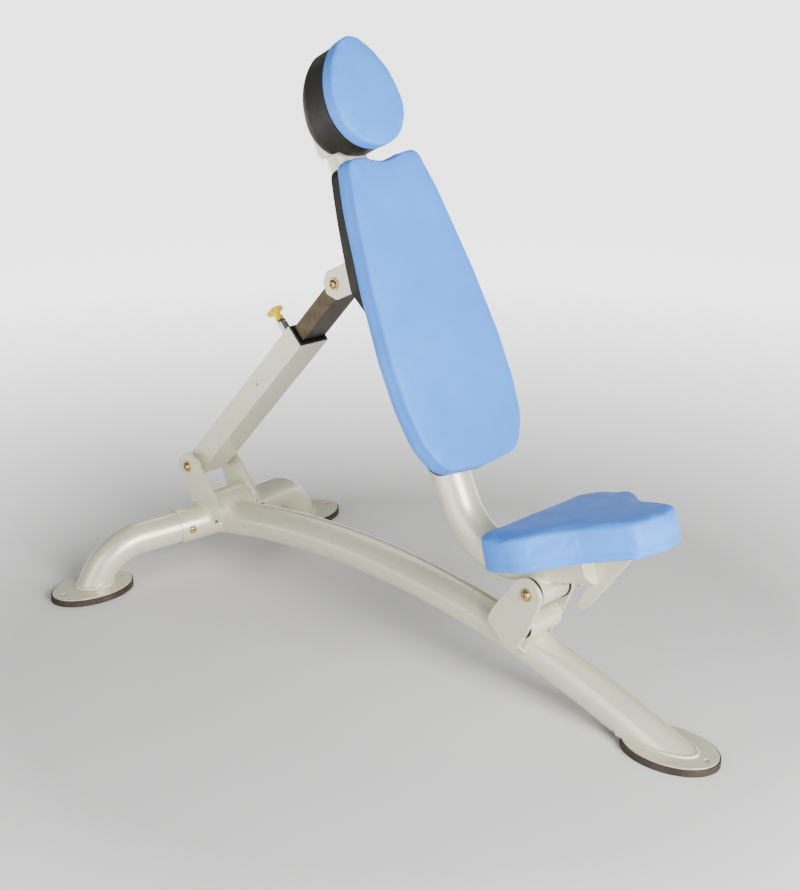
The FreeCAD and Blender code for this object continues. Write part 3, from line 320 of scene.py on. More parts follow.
BEAD_SIDES, BEAD_SPACING, BEAD_UNEVENNESS, BEAD_END = 8, 0.8, 0.06, 0.45
RIPPLE_PITCH, RIPPLE_DEPTH = 3.4, 0.34


def sweep(name, path, radius, closed):
    """Round bead along a path of scene points, rippled like a weld and thin at open ends."""
    points = path + path[:1] if closed else path
    lengths = running_lengths(points, MM)
    count = max(8, int(lengths[-1] / BEAD_SPACING))
    rows = []
    segment = 0
    for i in range(count + (0 if closed else 1)):
        along = lengths[-1] * i / count
        while segment < len(lengths) - 2 and lengths[segment + 1] < along:
            segment += 1
        span = max(lengths[segment + 1] - lengths[segment], 1e-9)
        spot = points[segment].lerp(points[segment + 1], (along - lengths[segment]) / span)
        rows.append((spot, along))
    verts, total = [], len(rows)
    for i, (spot, along) in enumerate(rows):
        after = rows[(i + 1) % total][0] if closed or i + 1 < total else spot
        before = rows[i - 1][0] if closed or i > 0 else spot
        tangent = (after - before).normalized()
        side = tangent.orthogonal() if i == 0 else side - tangent * side.dot(tangent)
        side.normalize()
        up = tangent.cross(side)
        wave = 1 + RIPPLE_DEPTH * (abs(math.sin(math.pi * along / RIPPLE_PITCH)) - 0.5)
        r = radius * wave * (1 + BEAD_UNEVENNESS * noise.noise(spot * 400)) * MM
        if not closed and i in (0, total - 1):
            r *= BEAD_END
        for k in range(BEAD_SIDES):
            angle = math.tau * k / BEAD_SIDES
            verts.append(spot + side * math.cos(angle) * r + up * math.sin(angle) * r)
    faces = grid_faces(total, BEAD_SIDES)
    last = (total - 1) * BEAD_SIDES
    if closed:
        twist = closing_twist(verts, BEAD_SIDES, last)
        faces += [(last + k, last + (k + 1) % BEAD_SIDES, (k + 1 + twist) % BEAD_SIDES,
                   (k + twist) % BEAD_SIDES) for k in range(BEAD_SIDES)]
    else:
        faces += [tuple(range(BEAD_SIDES))[::-1], tuple(last + k for k in range(BEAD_SIDES))]
    return make_mesh(name, verts, faces)


def closing_twist(verts, sides, last):
    """Shift that joins the last ring of a closed sweep to its first ring with least twist."""
    return min(range(sides), key=lambda t: sum((verts[last + k] - verts[(k + t) % sides]).length
                                               for k in range(sides)))


# CAD nodes that stay -----------------------------------------------------------------------

# Millimetres of bevel on the CAD edges of each material slot.
EDGE_WIDTH = {"paint": 0.9, "foot_rubber": 2.0, "shell": 2.2, "black_plastic": 0.8, "zinc": 0.5,
              "plated_tube": 1.2, "pin_steel": 0.5, "yellow_knob": 1.0, "vinyl": 1.0}


def dress_cad_nodes():
    """Procedural material and softened edges on every CAD node."""
    slots = {s["node"]: s["material_slot"] for s in frame["record"]["subparts"]}
    for name, obj in nodes.items():
        slot = slots[name]
        obj.data.materials.clear()
        obj.data.materials.append(LOOKS[slot])
        soft_edges(obj, EDGE_WIDTH[slot])


def soft_edges(obj, width):
    """Small rounds on sharp edges, with clean shading on the flats beside them."""
    obj.data.polygons.foreach_set("use_smooth", [True] * len(obj.data.polygons))
    obj.modifiers.new("weld", "WELD").merge_threshold = 1e-5
    flats = obj.modifiers.new("flats", "DECIMATE")
    flats.decimate_type = "DISSOLVE"
    flats.angle_limit = math.radians(0.2)
    bevel = obj.modifiers.new("edges", "BEVEL")
    bevel.width = width * MM
    bevel.segments = 2
    bevel.limit_method = "ANGLE"
    bevel.angle_limit = math.radians(40)
    bevel.use_clamp_overlap = True
    weighted = obj.modifiers.new("shading", "WEIGHTED_NORMAL")
    weighted.weight = 80


# Pads --------------------------------------------------------------------------------------

def rounded_outline(corners, count):
    """Closed outline of count evenly spaced points from corners (a, b, radius)."""
    fine = []
    total = len(corners)
    steps = 14
    for i, (a, b, radius) in enumerate(corners):
        spot = Vector((a, b))
        before = Vector(corners[i - 1][:2])
        after = Vector(corners[(i + 1) % total][:2])
        into, out = (before - spot).normalized(), (after - spot).normalized()
        half = math.acos(max(-1, min(1, into.dot(out)))) / 2
        if radius <= 0 or half > math.pi / 2 - 0.01:
            fine.append(spot)
            continue
        reach = min(radius / math.tan(half), (before - spot).length * 0.5, (after - spot).length * 0.5)
        start, end = spot + into * reach, spot + out * reach
        for k in range(steps + 1):
            t = k / steps
            fine.append(start * (1 - t) ** 2 + spot * 2 * t * (1 - t) + end * t * t)
    return resample(fine, count)


def resample(points, count):
    """Closed outline of count evenly spaced points along another."""
    loop = points + points[:1]
    lengths = running_lengths(loop)
    found, segment = [], 0
    for i in range(count):
        along = lengths[-1] * i / count
        while lengths[segment + 1] < along:
            segment += 1
        span = max(lengths[segment + 1] - lengths[segment], 1e-9)
        found.append(loop[segment].lerp(loop[segment + 1], (along - lengths[segment]) / span))
    return found


def mirrored(half):
    """Whole outline from its half on the positive side of b, listed from one end of the
    mirror line to the other."""
    return half + [(a, -b, r) for a, b, r in reversed(half) if abs(b) > 1e-6]


def inwards(outline):
    """Inward normals of a closed outline."""
    following = outline[1:] + outline[:1]
    sign = 1 if sum(a.x * b.y - b.x * a.y for a, b in zip(outline, following)) > 0 else -1
    normals = []
    for before, after in zip(outline[-1:] + outline[:-1], following):
        tangent = (after - before).normalized()
        normals.append(Vector((-tangent.y, tangent.x)) * sign)
    return normals


CROWN_POWER = 2.4


class Pad:
    """Upholstered pad: closed rings from the middle of its face, over the edge, down the
    wall and across its back. The wall is a list of (inset, level) pairs, and a level may be a
    function of a point's number and place."""

    def __init__(self, name, outline, wall, to_space, crown, face_rings=16, back_rings=5):
        self.name = name
        self.count = len(outline)
        normals = inwards(outline)
        middle = sum(outline, Vector((0, 0))) / self.count
        inner_inset, face_level = wall[0]
        inner = [p + n * inner_inset for p, n in zip(outline, normals)]
        rings = []
        for r in range(1, face_rings):
            t = r / face_rings
            rise = crown * (1 - t ** CROWN_POWER)
            rings.append([(middle.lerp(p, t), face_level + rise) for p in inner])
        self.face_count = len(rings)
        for inset, level in wall:
            ring = []
            for i, (p, n) in enumerate(zip(outline, normals)):
                height = level(i, p) if callable(level) else level
                ring.append((p + n * inset, height))
            rings.append(ring)
        back = rings[-1]
        for r in range(back_rings - 1, 0, -1):
            t = r / back_rings
            rings.append([(middle.lerp(p, t), level) for p, level in back])
        self.rings = rings
        self.middle = middle
        self.face_level = face_level + crown
        self.back_level = sum(level for _, level in back) / self.count
        self.to_space = to_space

    def mesh(self):
        points = [self.to_space(p.x, p.y, level) for ring in self.rings for p, level in ring]
        faces = grid_faces(len(self.rings), self.count)
        front = len(points)
        points.append(self.to_space(self.middle.x, self.middle.y, self.face_level))
        points.append(self.to_space(self.middle.x, self.middle.y, self.back_level))
        last = (len(self.rings) - 1) * self.count
        for i in range(self.count):
            j = (i + 1) % self.count
            faces += [(front, i, j), (last + i, front + 1, last + j)]
        return make_mesh(self.name, points, faces, merge=False)

    def wall_ring(self, index):
        """Numbers of the points of a wall ring, counted from the face."""
        start = (self.face_count + index) * self.count
        return range(start, start + self.count)

    def pinned(self, index):
        """Numbers of the points from a wall ring on to the middle of the back."""
        start = (self.face_count + index) * self.count
        return list(range(start, len(self.rings) * self.count)) + [len(self.rings) * self.count + 1]


PRESSURE, LAST_FRAME = 4.0, 20


def inflate(obj, pinned, cap):
    """Cloth simulation that fills the cover out; no point moves further than cap."""
    rest = [v.co.copy() for v in obj.data.vertices]
    group = obj.vertex_groups.new(name="held")
    group.add(pinned, 1.0, "REPLACE")
    cloth = obj.modifiers.new("cloth", "CLOTH")
    settings = cloth.settings
    settings.quality = 5
    settings.mass = 0.3
    settings.tension_stiffness = 25
    settings.compression_stiffness = 18
    settings.shear_stiffness = 8
    settings.bending_stiffness = 0.9
    settings.use_pressure = True
    settings.uniform_pressure_force = PRESSURE
    settings.vertex_group_mass = "held"
    settings.effector_weights.gravity = 0
    cloth.collision_settings.use_collision = False
    scene = bpy.context.scene
    for number in range(1, LAST_FRAME + 1):
        scene.frame_set(number)
    evaluated = obj.evaluated_get(bpy.context.evaluated_depsgraph_get())
    moved = [v.co.copy() for v in evaluated.to_mesh().vertices]
    evaluated.to_mesh_clear()
    obj.modifiers.remove(cloth)
    scene.frame_set(1)
    for vertex, start, end in zip(obj.data.vertices, rest, moved):
        shift = end - start
        if shift.length > cap * MM:
            shift = shift.normalized() * cap * MM
        vertex.co = start + shift
    obj.vertex_groups.clear()


def soften(obj, points, rounds, share=0.5):
    """Evens the given points out between their neighbours."""
    wanted = set(points)
    bm = bmesh.new()
    bm.from_mesh(obj.data)
    bm.verts.ensure_lookup_table()
    for _ in range(rounds):
        moved = {}
        for i in wanted:
            vertex = bm.verts[i]
            near = [edge.other_vert(vertex).co for edge in vertex.link_edges]
            moved[i] = vertex.co.lerp(sum(near, Vector()) / len(near), share)
        for i, co in moved.items():
            bm.verts[i].co = co
    bm.to_mesh(obj.data)
    bm.free()


def smooth_cover(obj, pad):
    """Takes the small wrinkles out of a filled cover's face and upper wall."""
    soften(obj, range(pad.face_count * pad.count), 8)
    soften(obj, [i for k in range(1, 8) for i in pad.wall_ring(k)], 1, 0.3)


def pucker(obj, pad, index, depth, spread, gather):
    """Sinks a sewn seam into the wall at a ring, and gathers the cover beside it."""
    mesh = obj.data
    normals = [v.normal.copy() for v in mesh.vertices]
    for offset in range(-spread, spread + 1):
        fall = math.exp(-(offset * 1.6) ** 2)
        for i, number in enumerate(pad.wall_ring(index + offset)):
            spot = mesh.vertices[number].co
            wave = noise.noise(Vector((i * 0.9 / 11 * 6, offset * 0.7, 3.1)))
            amount = -depth * fall + gather * wave * (0.4 if offset == 0 else 1.0)
            mesh.vertices[number].co = spot + normals[number] * amount * MM
    mesh.update()


STITCH_LENGTH, STITCH_GAP, THREAD_RADIUS, THREAD_SIDES, STITCH_RINGS = 3.4, 1.6, 0.42, 6, 5


def stitches(name, path, normals, lift):
    """Row of short thread stitches along a closed path on the back frame; their ends dip
    into the cover."""
    loop = path + path[:1]
    lengths = running_lengths(loop, MM)
    count = int(lengths[-1] / (STITCH_LENGTH + STITCH_GAP))
    pitch = lengths[-1] / count
    middle, end = STITCH_RINGS // 2, STITCH_RINGS - 1
    verts, faces = [], []
    segment = 0
    for number in range(count):
        row = []
        for k in range(STITCH_RINGS):
            along = number * pitch + STITCH_LENGTH * k / end
            while segment < len(lengths) - 2 and lengths[segment + 1] < along:
                segment += 1
            while segment > 0 and lengths[segment] > along:
                segment -= 1
            t = (along - lengths[segment]) / max(lengths[segment + 1] - lengths[segment], 1e-9)
            spot = loop[segment].lerp(loop[segment + 1], t)
            outwards = normals[segment % len(normals)].lerp(normals[(segment + 1) % len(normals)], t)
            dip = 0.35 * (abs(k - middle) / middle) ** 2
            row.append(spot + outwards.normalized() * (lift - dip) * MM)
        start = len(verts)
        for k, spot in enumerate(row):
            tangent = (row[min(k + 1, end)] - row[max(k - 1, 0)]).normalized()
            side = tangent.orthogonal().normalized()
            up = tangent.cross(side)
            r = THREAD_RADIUS * (0.55 if k in (0, end) else 1.0) * MM
            for s in range(THREAD_SIDES):
                angle = math.tau * s / THREAD_SIDES
                verts.append(spot + (side * math.cos(angle) + up * math.sin(angle)) * r)
        faces += grid_faces(STITCH_RINGS, THREAD_SIDES, start)
        faces += [tuple(start + s for s in reversed(range(THREAD_SIDES))),
                  tuple(start + end * THREAD_SIDES + s for s in range(THREAD_SIDES))]
    return add_piece(name, make_mesh(name, verts, faces), "back_frame", "vinyl", look=THREAD)


def ring_path(obj, pad, index):
    """Scene points and outward normals along a wall ring."""
    numbers = pad.wall_ring(index)
    return ([obj.data.vertices[i].co.copy() for i in numbers],
            [obj.data.vertices[i].normal.copy() for i in numbers])


def edge_round(radius, level, steps=5):
    """Quarter round from the face to the wall: (inset, level) pairs."""
    return [(radius * (1 - math.sin(math.pi / 2 * k / steps)),
             level - radius * (1 - math.cos(math.pi / 2 * k / steps))) for k in range(steps + 1)]


def back_pad():
    """Back cushion: long and waisted towards the head, with a scooped top edge."""
    half = [(0, 762, 90), (50, 778, 60), (90, 780, 30), (112, 697, 600), (137, 530, 600), (148, 400, 300),
            (147, 310, 260), (136, 235, 110), (100, 175, 62), (0, 166, 0)]
    corners = half + [(-y, z, r) for y, z, r in reversed(half) if y > 0]
    outline = rounded_outline(corners, 300)
    face, base = 100, 62.3
    wall = edge_round(6, face) + [(0, face - 8 - 6 * k) for k in range(1, 4)] + [
        (0.2, base + 6.5), (0.6, base + 3), (1.6, base + 0.6), (5, base)]
    pad = Pad("back_cushion_cover", outline, wall, lambda a, b, h: place(BACK, (h, a, b)), 1.5, 20)
    obj = add_piece(pad.name, pad.mesh(), "back_frame", "vinyl", ["back_cushion"])
    inflate(obj, pad.pinned(8), 2.5)
    smooth_cover(obj, pad)
    pucker(obj, pad, 9, 0.9, 1, 0.25)
    path, normals = ring_path(obj, pad, 9)
    stitches("back_cushion_stitches", path, normals, 0.1)


def head_pad():
    """Head cushion: egg shaped, with the wide end down."""
    seam, face = 78.3, 109.5
    outline = resample(egg(899), 180)
    wall = edge_round(5, face) + [
        (0, face - 11), (0, face - 19), (0.3, seam + 4), (1.0, seam + 1), (3, seam)]
    pad = Pad("head_cushion_cover", outline, wall, lambda a, b, h: place(BACK, (h, a, b)), 2.0, 12)
    obj = add_piece(pad.name, pad.mesh(), "back_frame", "vinyl", ["head_cushion"])
    inflate(obj, pad.pinned(8), 1.8)
    smooth_cover(obj, pad)
    pucker(obj, pad, 8, 0.8, 1, 0.2)
    path, normals = ring_path(obj, pad, 8)
    stitches("head_cushion_stitches", path, normals, 0.1)


def shell_cover():
    """Head shell, drawn a little fuller than its solid so that it meets the filled cushion."""
    mesh = nodes["head_shell"].data.copy()
    inverse = BACK.inverted()
    seam, middle = 78 * MM, 876 * MM
    deeper, wider, higher, lower = 1.2, 1.05, 1.03, 0.99
    for vertex in mesh.vertices:
        spot = inverse @ vertex.co
        spot.x = seam - (seam - spot.x) * deeper
        spot.y *= wider
        spot.z = middle + (spot.z - middle) * (higher if spot.z > middle else lower)
        vertex.co = BACK @ spot
    obj = add_piece("head_shell_cover", mesh, "back_frame", "shell", ["head_shell"])
    soft_edges(obj, 1.5)


def egg(middle):
    """Points of the head pad's outline: a round end down, and a narrower one up."""
    arcs = (((0, -23.5), 84.5, -90, 0), ((-65.5, -23.5), 150.0, 0, 51.7), ((0, 59.4), 44.2, 51.7, 90))
    half = []
    for (across, up), radius, start, end in arcs:
        for k in range(24):
            angle = math.radians(start + (end - start) * k / 23)
            half.append(Vector((across + radius * math.cos(angle), middle + up + radius * math.sin(angle))))
    return half + [Vector((-p.x, p.y)) for p in reversed(half)][1:-1]


def seat_pad():
    """Saddle seat: broad at the rear, waisted, with a narrow nose; its cover is gathered
    into a seam above the skirt."""
    half = [(151, 0, 0), (153, 168, 96), (266, 169, 70), (330, 103, 120), (440, 63, 30), (456, 0, 0)]
    outline = rounded_outline(mirrored(half), 260)
    face, skirt = 91, 28
    notch_end, notch_half, notch_top = 240, 54, 44

    def lower(level):
        """The lower edge lifts over the tube where it enters at the rear."""
        def at(_, spot):
            if spot.x > notch_end:
                return level
            near = max(0.0, 1 - (abs(spot.y) / notch_half) ** 4)
            return level + (notch_top - skirt) * min(1.0, near * 1.6)
        return at

    wall = edge_round(8, face, steps=6) + [(0, face - 10 - 7 * k) for k in range(1, 5)] + [
        (0, lower(skirt + 17)), (0, lower(skirt + 14)), (0, lower(skirt + 11)), (0.1, lower(skirt + 7)),
        (0.5, lower(skirt + 3.5)), (1.6, lower(skirt + 1)), (4.5, lower(skirt)), (9, lower(skirt + 0.6)),
        (11, lower(skirt + 3)), (11.5, lambda i, p: 45.5), (12, lambda i, p: 50.3)]
    pad = Pad("seat_cushion_cover", outline, wall, lambda a, b, h: place(SEAT, (a, b, h)), 2.5, 16, 4)
    obj = add_piece(pad.name, pad.mesh(), "back_frame", "vinyl", ["seat_cushion"])
    inflate(obj, pad.pinned(11), 3)
    smooth_cover(obj, pad)
    pucker(obj, pad, 12, 1.6, 2, 0.55)
    path, normals = ring_path(obj, pad, 12)
    stitches("seat_cushion_stitches", path, normals, 0.15)


# Fasteners ---------------------------------------------------------------------------------

def hexagon_cosine(angle):
    """Cosine of the angle from the middle of a hexagon's nearest side."""
    return math.cos((angle % (math.pi / 3)) - math.pi / 6)


def dome_head(matrix, radius=9.0, height=6.0):
    """Button head with a hexagon socket, on the Z axis of a frame."""
    angles = [math.pi / 2 * k / 8 * 0.80 for k in range(9)]
    curve = [(radius * math.cos(a), height * math.sin(a) * 0.98) for a in angles]
    socket = radius * 0.46
    top = curve[-1][1]
    profile = [(0, 0), (radius * 0.97, 0), (radius, 0.5)] + [(r, max(h, 0.7)) for r, h in curve[1:]]
    first_of_socket = len(profile)
    profile += [(socket * 1.12, top + 0.25), (socket, top - 0.1), (socket * 0.98, top - 2.6), (0, top - 2.9)]

    def six_sided(angle, index):
        return math.cos(math.pi / 6) / hexagon_cosine(angle) if index >= first_of_socket else 1.0

    return lathe("head", matrix, profile, 48, six_sided)


def lock_nut(matrix, radius=10.0, height=8.0):
    """Hexagon nut with chamfered corners and a locking collar, on the Z axis of a frame."""
    flat = radius * math.cos(math.pi / 6)

    def hexagon(angle, index):
        reach = flat / hexagon_cosine(angle)
        if index in (1, 4):
            return min(reach, flat * 1.03) / radius
        return reach / radius if index in (2, 3) else 1.0

    profile = [(0, 0), (radius, 0), (radius, 0.9), (radius, height * 0.62), (radius, height * 0.72),
               (flat * 0.80, height * 0.76), (flat * 0.80, height * 0.95), (flat * 0.72, height),
               (6.2 * radius / 10, height), (6.0 * radius / 10, height - 0.8), (0, height - 0.8)]
    return lathe("nut", matrix, profile, 60, hexagon)


def threaded_end(matrix, radius, length):
    """Bolt end with turned ridges and a chamfer."""
    profile = [(0, -4), (radius * 0.92, -4)]
    rise = 0.0
    while rise < length - 1.0:
        profile += [(radius * 0.90, rise), (radius, rise + 0.5)]
        rise += 1.0
    profile += [(radius * 0.88, length), (0, length)]
    return lathe("thread", matrix, profile, 32)


def cross_bolt(name, matrix, half_grip, body):
    """Bolt across the bench, with its domed head on the near side; returns its nut's mesh."""
    radius, nut_height = 6.0, 8.0
    near = axis_frame(place(matrix, (0, -half_grip, 0)), (0, -1, 0))
    far = axis_frame(place(matrix, (0, half_grip, 0)), (0, 1, 0))
    shaft = lathe("shaft", axis_frame(place(matrix, (0, -half_grip, 0)), (0, 1, 0)),
                  [(0, 0), (radius, 0), (radius, 2 * half_grip), (0, 2 * half_grip)], 32)
    tip = axis_frame(place(matrix, (0, half_grip + nut_height - 1, 0)), (0, 1, 0))
    bolt = [dome_head(near), shaft, threaded_end(tip, radius * 0.93, 3)]
    add_piece(name + "_piece", join_meshes(name, bolt), body, "zinc", [name])
    return lock_nut(far, height=nut_height)


def through_bolt(near, far, radius, grip, head, nut):
    """Meshes of a bolt between two frames; head and nut hold (radius, height)."""
    shaft = lathe("shaft", near, [(0, 0), (radius, 0), (radius, -grip), (0, -grip)], 24)
    return [dome_head(near, *head), lock_nut(far, *nut), shaft]


def fasteners():
    """Bolts and nuts of the three pivots, the head bracket and the leg sleeves."""
    rear = cross_bolt("rear_pivot_bolt", STRUT, 60, "base")
    front = cross_bolt("front_pivot_bolt", FRONT_PIVOT, 52, "base")
    add_piece("pivot_nuts_piece", join_meshes("nuts", [rear, front]), "base", "zinc", ["pivot_nuts"])
    upper = cross_bolt("clevis_bolt", CLEVIS, 44, "back_frame")
    add_piece("clevis_nut_piece", join_meshes("nuts", [upper]), "back_frame", "zinc", ["clevis_nut"])
    half_grip = 44.4
    pieces = []
    for perp, along in ((-2, 838), (-12, 884)):
        matrix = BACK @ Matrix.Translation(Vector((perp, 0, along)) * MM)
        near = axis_frame(place(matrix, (0, -half_grip, 0)), (0, -1, 0))
        far = axis_frame(place(matrix, (0, half_grip, 0)), (0, 1, 0))
        pieces += through_bolt(near, far, 4, 2 * half_grip, (8.0, 5.4), (8.5, 6))
    add_piece("head_bolts_piece", join_meshes("head_bolts", pieces), "back_frame", "zinc", ["head_bolts"])
    sleeve_bolts()


# Where the rear legs' axes meet, and in degrees how far they point backwards and down, and
# how steeply their ends go down.
JOINT = (-585, 0, 121)
LEG_SWEEP, LEG_DROP, LEG_STEEP = 16.7, 5.7, 60


def leg_axis(side):
    """Direction of a rear leg where it leaves the joint."""
    sweep, drop = math.radians(LEG_SWEEP), math.radians(LEG_DROP)
    level = math.cos(drop)
    return Vector((-math.sin(sweep) * level, side * math.cos(sweep) * level, -math.sin(drop)))


def sleeve_bolts():
    """Bolts that hold the legs in their sleeves."""
    half_grip, along = 38.2, 94
    pieces = []
    sweep = math.radians(LEG_SWEEP)
    for side in (-1, 1):
        spot = Vector(JOINT) + leg_axis(side) * along
        forward = Vector((math.cos(sweep), side * math.sin(sweep), 0))
        near = axis_frame((spot + forward * half_grip) * MM, forward)
        far = axis_frame((spot - forward * half_grip) * MM, -forward)
        pieces += through_bolt(near, far, 5, 2 * half_grip, (8.6, 5.6), (9.4, 7))
    add_piece("sleeve_bolts_piece", join_meshes("sleeve_bolts", pieces), "base", "zinc", ["sleeve_bolts"])


# Pull pin ------------------------------------------------------------------------------------

PIN_PLACE, TUBE_TOP = 450, 25
PIN_BASE = axis_frame(place(STRUT, (PIN_PLACE, 0, TUBE_TOP)), STRUT.to_3x3() @ Vector((0, 0, 1)))


def pull_pin():
    """Turned housing with a lock nut, and a flared knob with finger scallops."""
    housing = [(4.9, 0.05), (12.5, 0.05), (12.5, 7), (11.6, 7.8), (10.2, 8), (10.2, 12), (9.7, 12.6),
               (10.2, 13.2), (10.2, 35), (9.7, 35.6), (10.2, 36.2), (10.2, 41), (8.8, 43.6), (4.9, 43.9),
               (4.9, 0.05)]

    def hexagon(angle, index):
        return 0.94 / hexagon_cosine(angle) * 0.97 if index in (1, 2) else 1.0

    add_piece("pin_housing_piece", lathe("pin_housing_piece", PIN_BASE, housing, 72, hexagon),
              "strut_outer", "pin_steel", ["pin_housing"])
    # Stem, neck, flare and shallow dome; the flare's rim has eight scallops.
    knob = [(4.6, 45), (8.3, 45), (9.2, 46), (8.4, 51), (7.6, 56), (8.2, 59.5), (11.5, 62.4), (16, 64.2),
            (18.4, 65.4), (19, 67), (18.3, 68.8), (15.5, 70.4), (11, 71.2), (6, 71), (0, 70.8)]

    def scallop(angle, index):
        return 1 - 0.045 * (0.5 + 0.5 * math.cos(8 * angle)) ** 2 if 7 <= index <= 11 else 1.0

    add_piece("pull_knob_piece", lathe("pull_knob_piece", PIN_BASE, knob, 96, scallop), "pull_pin",
              "yellow_knob", ["pull_knob"])


# Welds ---------------------------------------------------------------------------------------

def tree_of(*names):
    """Search tree of the surfaces of some CAD nodes."""
    points, faces = [], []
    for name in names:
        start = len(points)
        mesh = nodes[name].data
        points += [v.co.copy() for v in mesh.vertices]
        faces += [[start + i for i in p.vertices] for p in mesh.polygons]
    return BVHTree.FromPolygons(points, faces)


def weld(name, path, body, radius, closed=True):
    """Rippled weld bead along a path of scene points."""
    return add_piece(name, sweep(name, path, radius, closed), body, "paint")


RAYS, SHORTEST_RUN = 96, 4


def rays_to(tree, origin, direction, radius):
    """Where lines on a cylinder's surface meet a surface; runs of found points."""
    direction = Vector(direction).normalized()
    side = direction.orthogonal().normalized()
    up = direction.cross(side)
    runs, run = [], []
    for i in range(RAYS):
        angle = math.tau * i / RAYS
        spot = Vector(origin) * MM + (side * math.cos(angle) + up * math.sin(angle)) * radius * MM
        hit = tree.ray_cast(spot, direction)[0]
        if hit is None:
            runs.append(run)
            run = []
        else:
            run.append(hit)
    runs.append(run)
    return [run for run in runs if len(run) >= SHORTEST_RUN]


def ring_points(matrix, radius, level):
    """Circle about the Z axis of a frame."""
    angles = [math.tau * i / 72 for i in range(72)]
    return [place(matrix, (radius * math.cos(a), radius * math.sin(a), level)) for a in angles]


# The beam's arc, its tube's radius, and the level where the foot beads lie.
ARCH_RADIUS, ARCH_TOP, TUBE_RADIUS, FOOT_BEAD = 2078, (-159, 156.8), 38, 16.8


def beam_height(forward):
    """Height of the beam's centre line."""
    return ARCH_TOP[1] - ARCH_RADIUS + math.sqrt(ARCH_RADIUS ** 2 - (forward - ARCH_TOP[0]) ** 2)


def beam_foot_path():
    """Where the beam's surface meets the top of the front foot, ahead of the plate's
    rear edge."""
    centre = ARCH_TOP[1] - ARCH_RADIUS
    tube = TUBE_RADIUS + 0.4
    count = 200
    path = []
    for i in range(count):
        angle = math.tau * i / count
        ring = ARCH_RADIUS + tube * math.cos(angle)
        turn = math.acos((FOOT_BEAD - centre) / ring)
        path.append(Vector((ARCH_TOP[0] + ring * math.sin(turn), tube * math.sin(angle), FOOT_BEAD)) * MM)
    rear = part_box("foot_plate_front")[0].x + 0.0015
    first = next(i for i in range(count) if path[i - 1].x <= rear < path[i].x)
    ordered = path[first:] + path[:first]
    return [p for p in ordered if p.x > rear]


def leg_foot_path(side):
    """Where the leg's steep end meets its foot plate."""
    sweep, steep = math.radians(LEG_SWEEP), math.radians(LEG_STEEP)
    outwards = Vector((-math.sin(sweep), side * math.cos(sweep), 0))
    down = outwards * math.cos(steep) + Vector((0, 0, -math.sin(steep)))
    corner = Vector(JOINT) + leg_axis(side) * 269.3
    across = outwards.cross(Vector((0, 0, 1)))
    upper = across.cross(down)
    leg, count = 35.4, 120
    path = []
    for i in range(count):
        angle = math.tau * i / count
        spot = corner + (across * math.cos(angle) + upper * math.sin(angle)) * leg
        path.append((spot + down * ((spot.z - FOOT_BEAD) / math.sin(steep))) * MM)
    return path


def barrel_saddle(side):
    """Half of the line where the front pivot barrel meets the seat tube."""
    pivot = SEAT.inverted() @ FRONT_PIVOT.translation / MM
    barrel, tube = 29.4, 38.4
    path = []
    for i in range(61):
        angle = math.radians(-65 + 130 * i / 60)
        x, z = pivot.x + barrel * math.sin(angle), pivot.z + barrel * math.cos(angle)
        path.append(place(SEAT, (x, side * math.sqrt(max(0.0, tube ** 2 - z * z)), z)))
    return path


def welds_of_side(label, side):
    """Beads on one side of the bench: feet, barrels, ears, cross tubes and brackets."""
    weld(f"weld_foot_{label}", leg_foot_path(side), "base", 3.2)
    weld(f"weld_barrel_{label}", barrel_saddle(side), "back_frame", 2.4, closed=False)
    ring = axis_frame(place(STRUT, (0, side * 37.7, 0)), (0, side, 0))
    weld(f"weld_strut_barrel_{label}", ring_points(ring, 20.4, 0), "strut_outer", 2.0)
    axis = leg_axis(side)
    ear = tree_of(f"rear_ear_{label}")
    for k, run in enumerate(rays_to(ear, Vector(JOINT) + axis * 112, -axis, TUBE_RADIUS + 0.4)):
        weld(f"weld_rear_ear_{label}_{k}", run, "base", 2.8, closed=False)
    for name, origin, radius in (("rear", (-577, 0, 147), 38.3), ("front", (326, 0, 156), 25.3)):
        ear = tree_of(f"{name}_ear_{label}")
        for k, run in enumerate(rays_to(ear, origin, (0, side, 0), radius)):
            inner = [p - Vector((0, side * 0.6 * MM, 0)) for p in run]
            weld(f"weld_{name}_cross_{label}_{k}", inner, "base", 2.6, closed=len(run) == RAYS)
    # The gap between the beam and the front ear.
    low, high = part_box(f"front_ear_{label}")
    line = []
    for i in range(25):
        x = (low.x / MM + 8) + (high.x - low.x) / MM * 0.62 * i / 24
        line.append(Vector((x, side * 40.4, beam_height(x) + 9.5)) * MM)
    weld(f"weld_front_ear_{label}", line, "base", 3.6, closed=False)
    clevis_line = [place(BACK, (-37.2, side * 17, 560 + 55 * i / 20)) for i in range(21)]
    weld(f"weld_clevis_{label}", clevis_line, "back_frame", 2.8, closed=False)
    cheek = [place(BACK, (36.6, side * 46, 838 + 112 * i / 30)) for i in range(31)]
    weld(f"weld_head_{label}", cheek, "back_frame", 2.0, closed=False)


def welds():
    """All weld beads."""
    weld("weld_front_foot", beam_foot_path(), "base", 3.4, closed=False)
    for label, side in (("left", 1), ("right", -1)):
        welds_of_side(label, side)
    sleeves = tree_of("leg_sleeve_left", "leg_sleeve_right")
    x = -500
    slope = math.asin((x - ARCH_TOP[0]) / ARCH_RADIUS)
    backwards = Vector((-math.cos(slope), 0, math.sin(slope)))
    for k, run in enumerate(rays_to(sleeves, (x, 0, beam_height(x)), backwards, TUBE_RADIUS + 0.3)):
        weld(f"weld_beam_rear_{k}", run, "base", 3.0, closed=False)
    weld("weld_pin_housing", ring_points(PIN_BASE, 12.6, 0.4), "strut_outer", 1.6)


# Stage ---------------------------------------------------------------------------------------

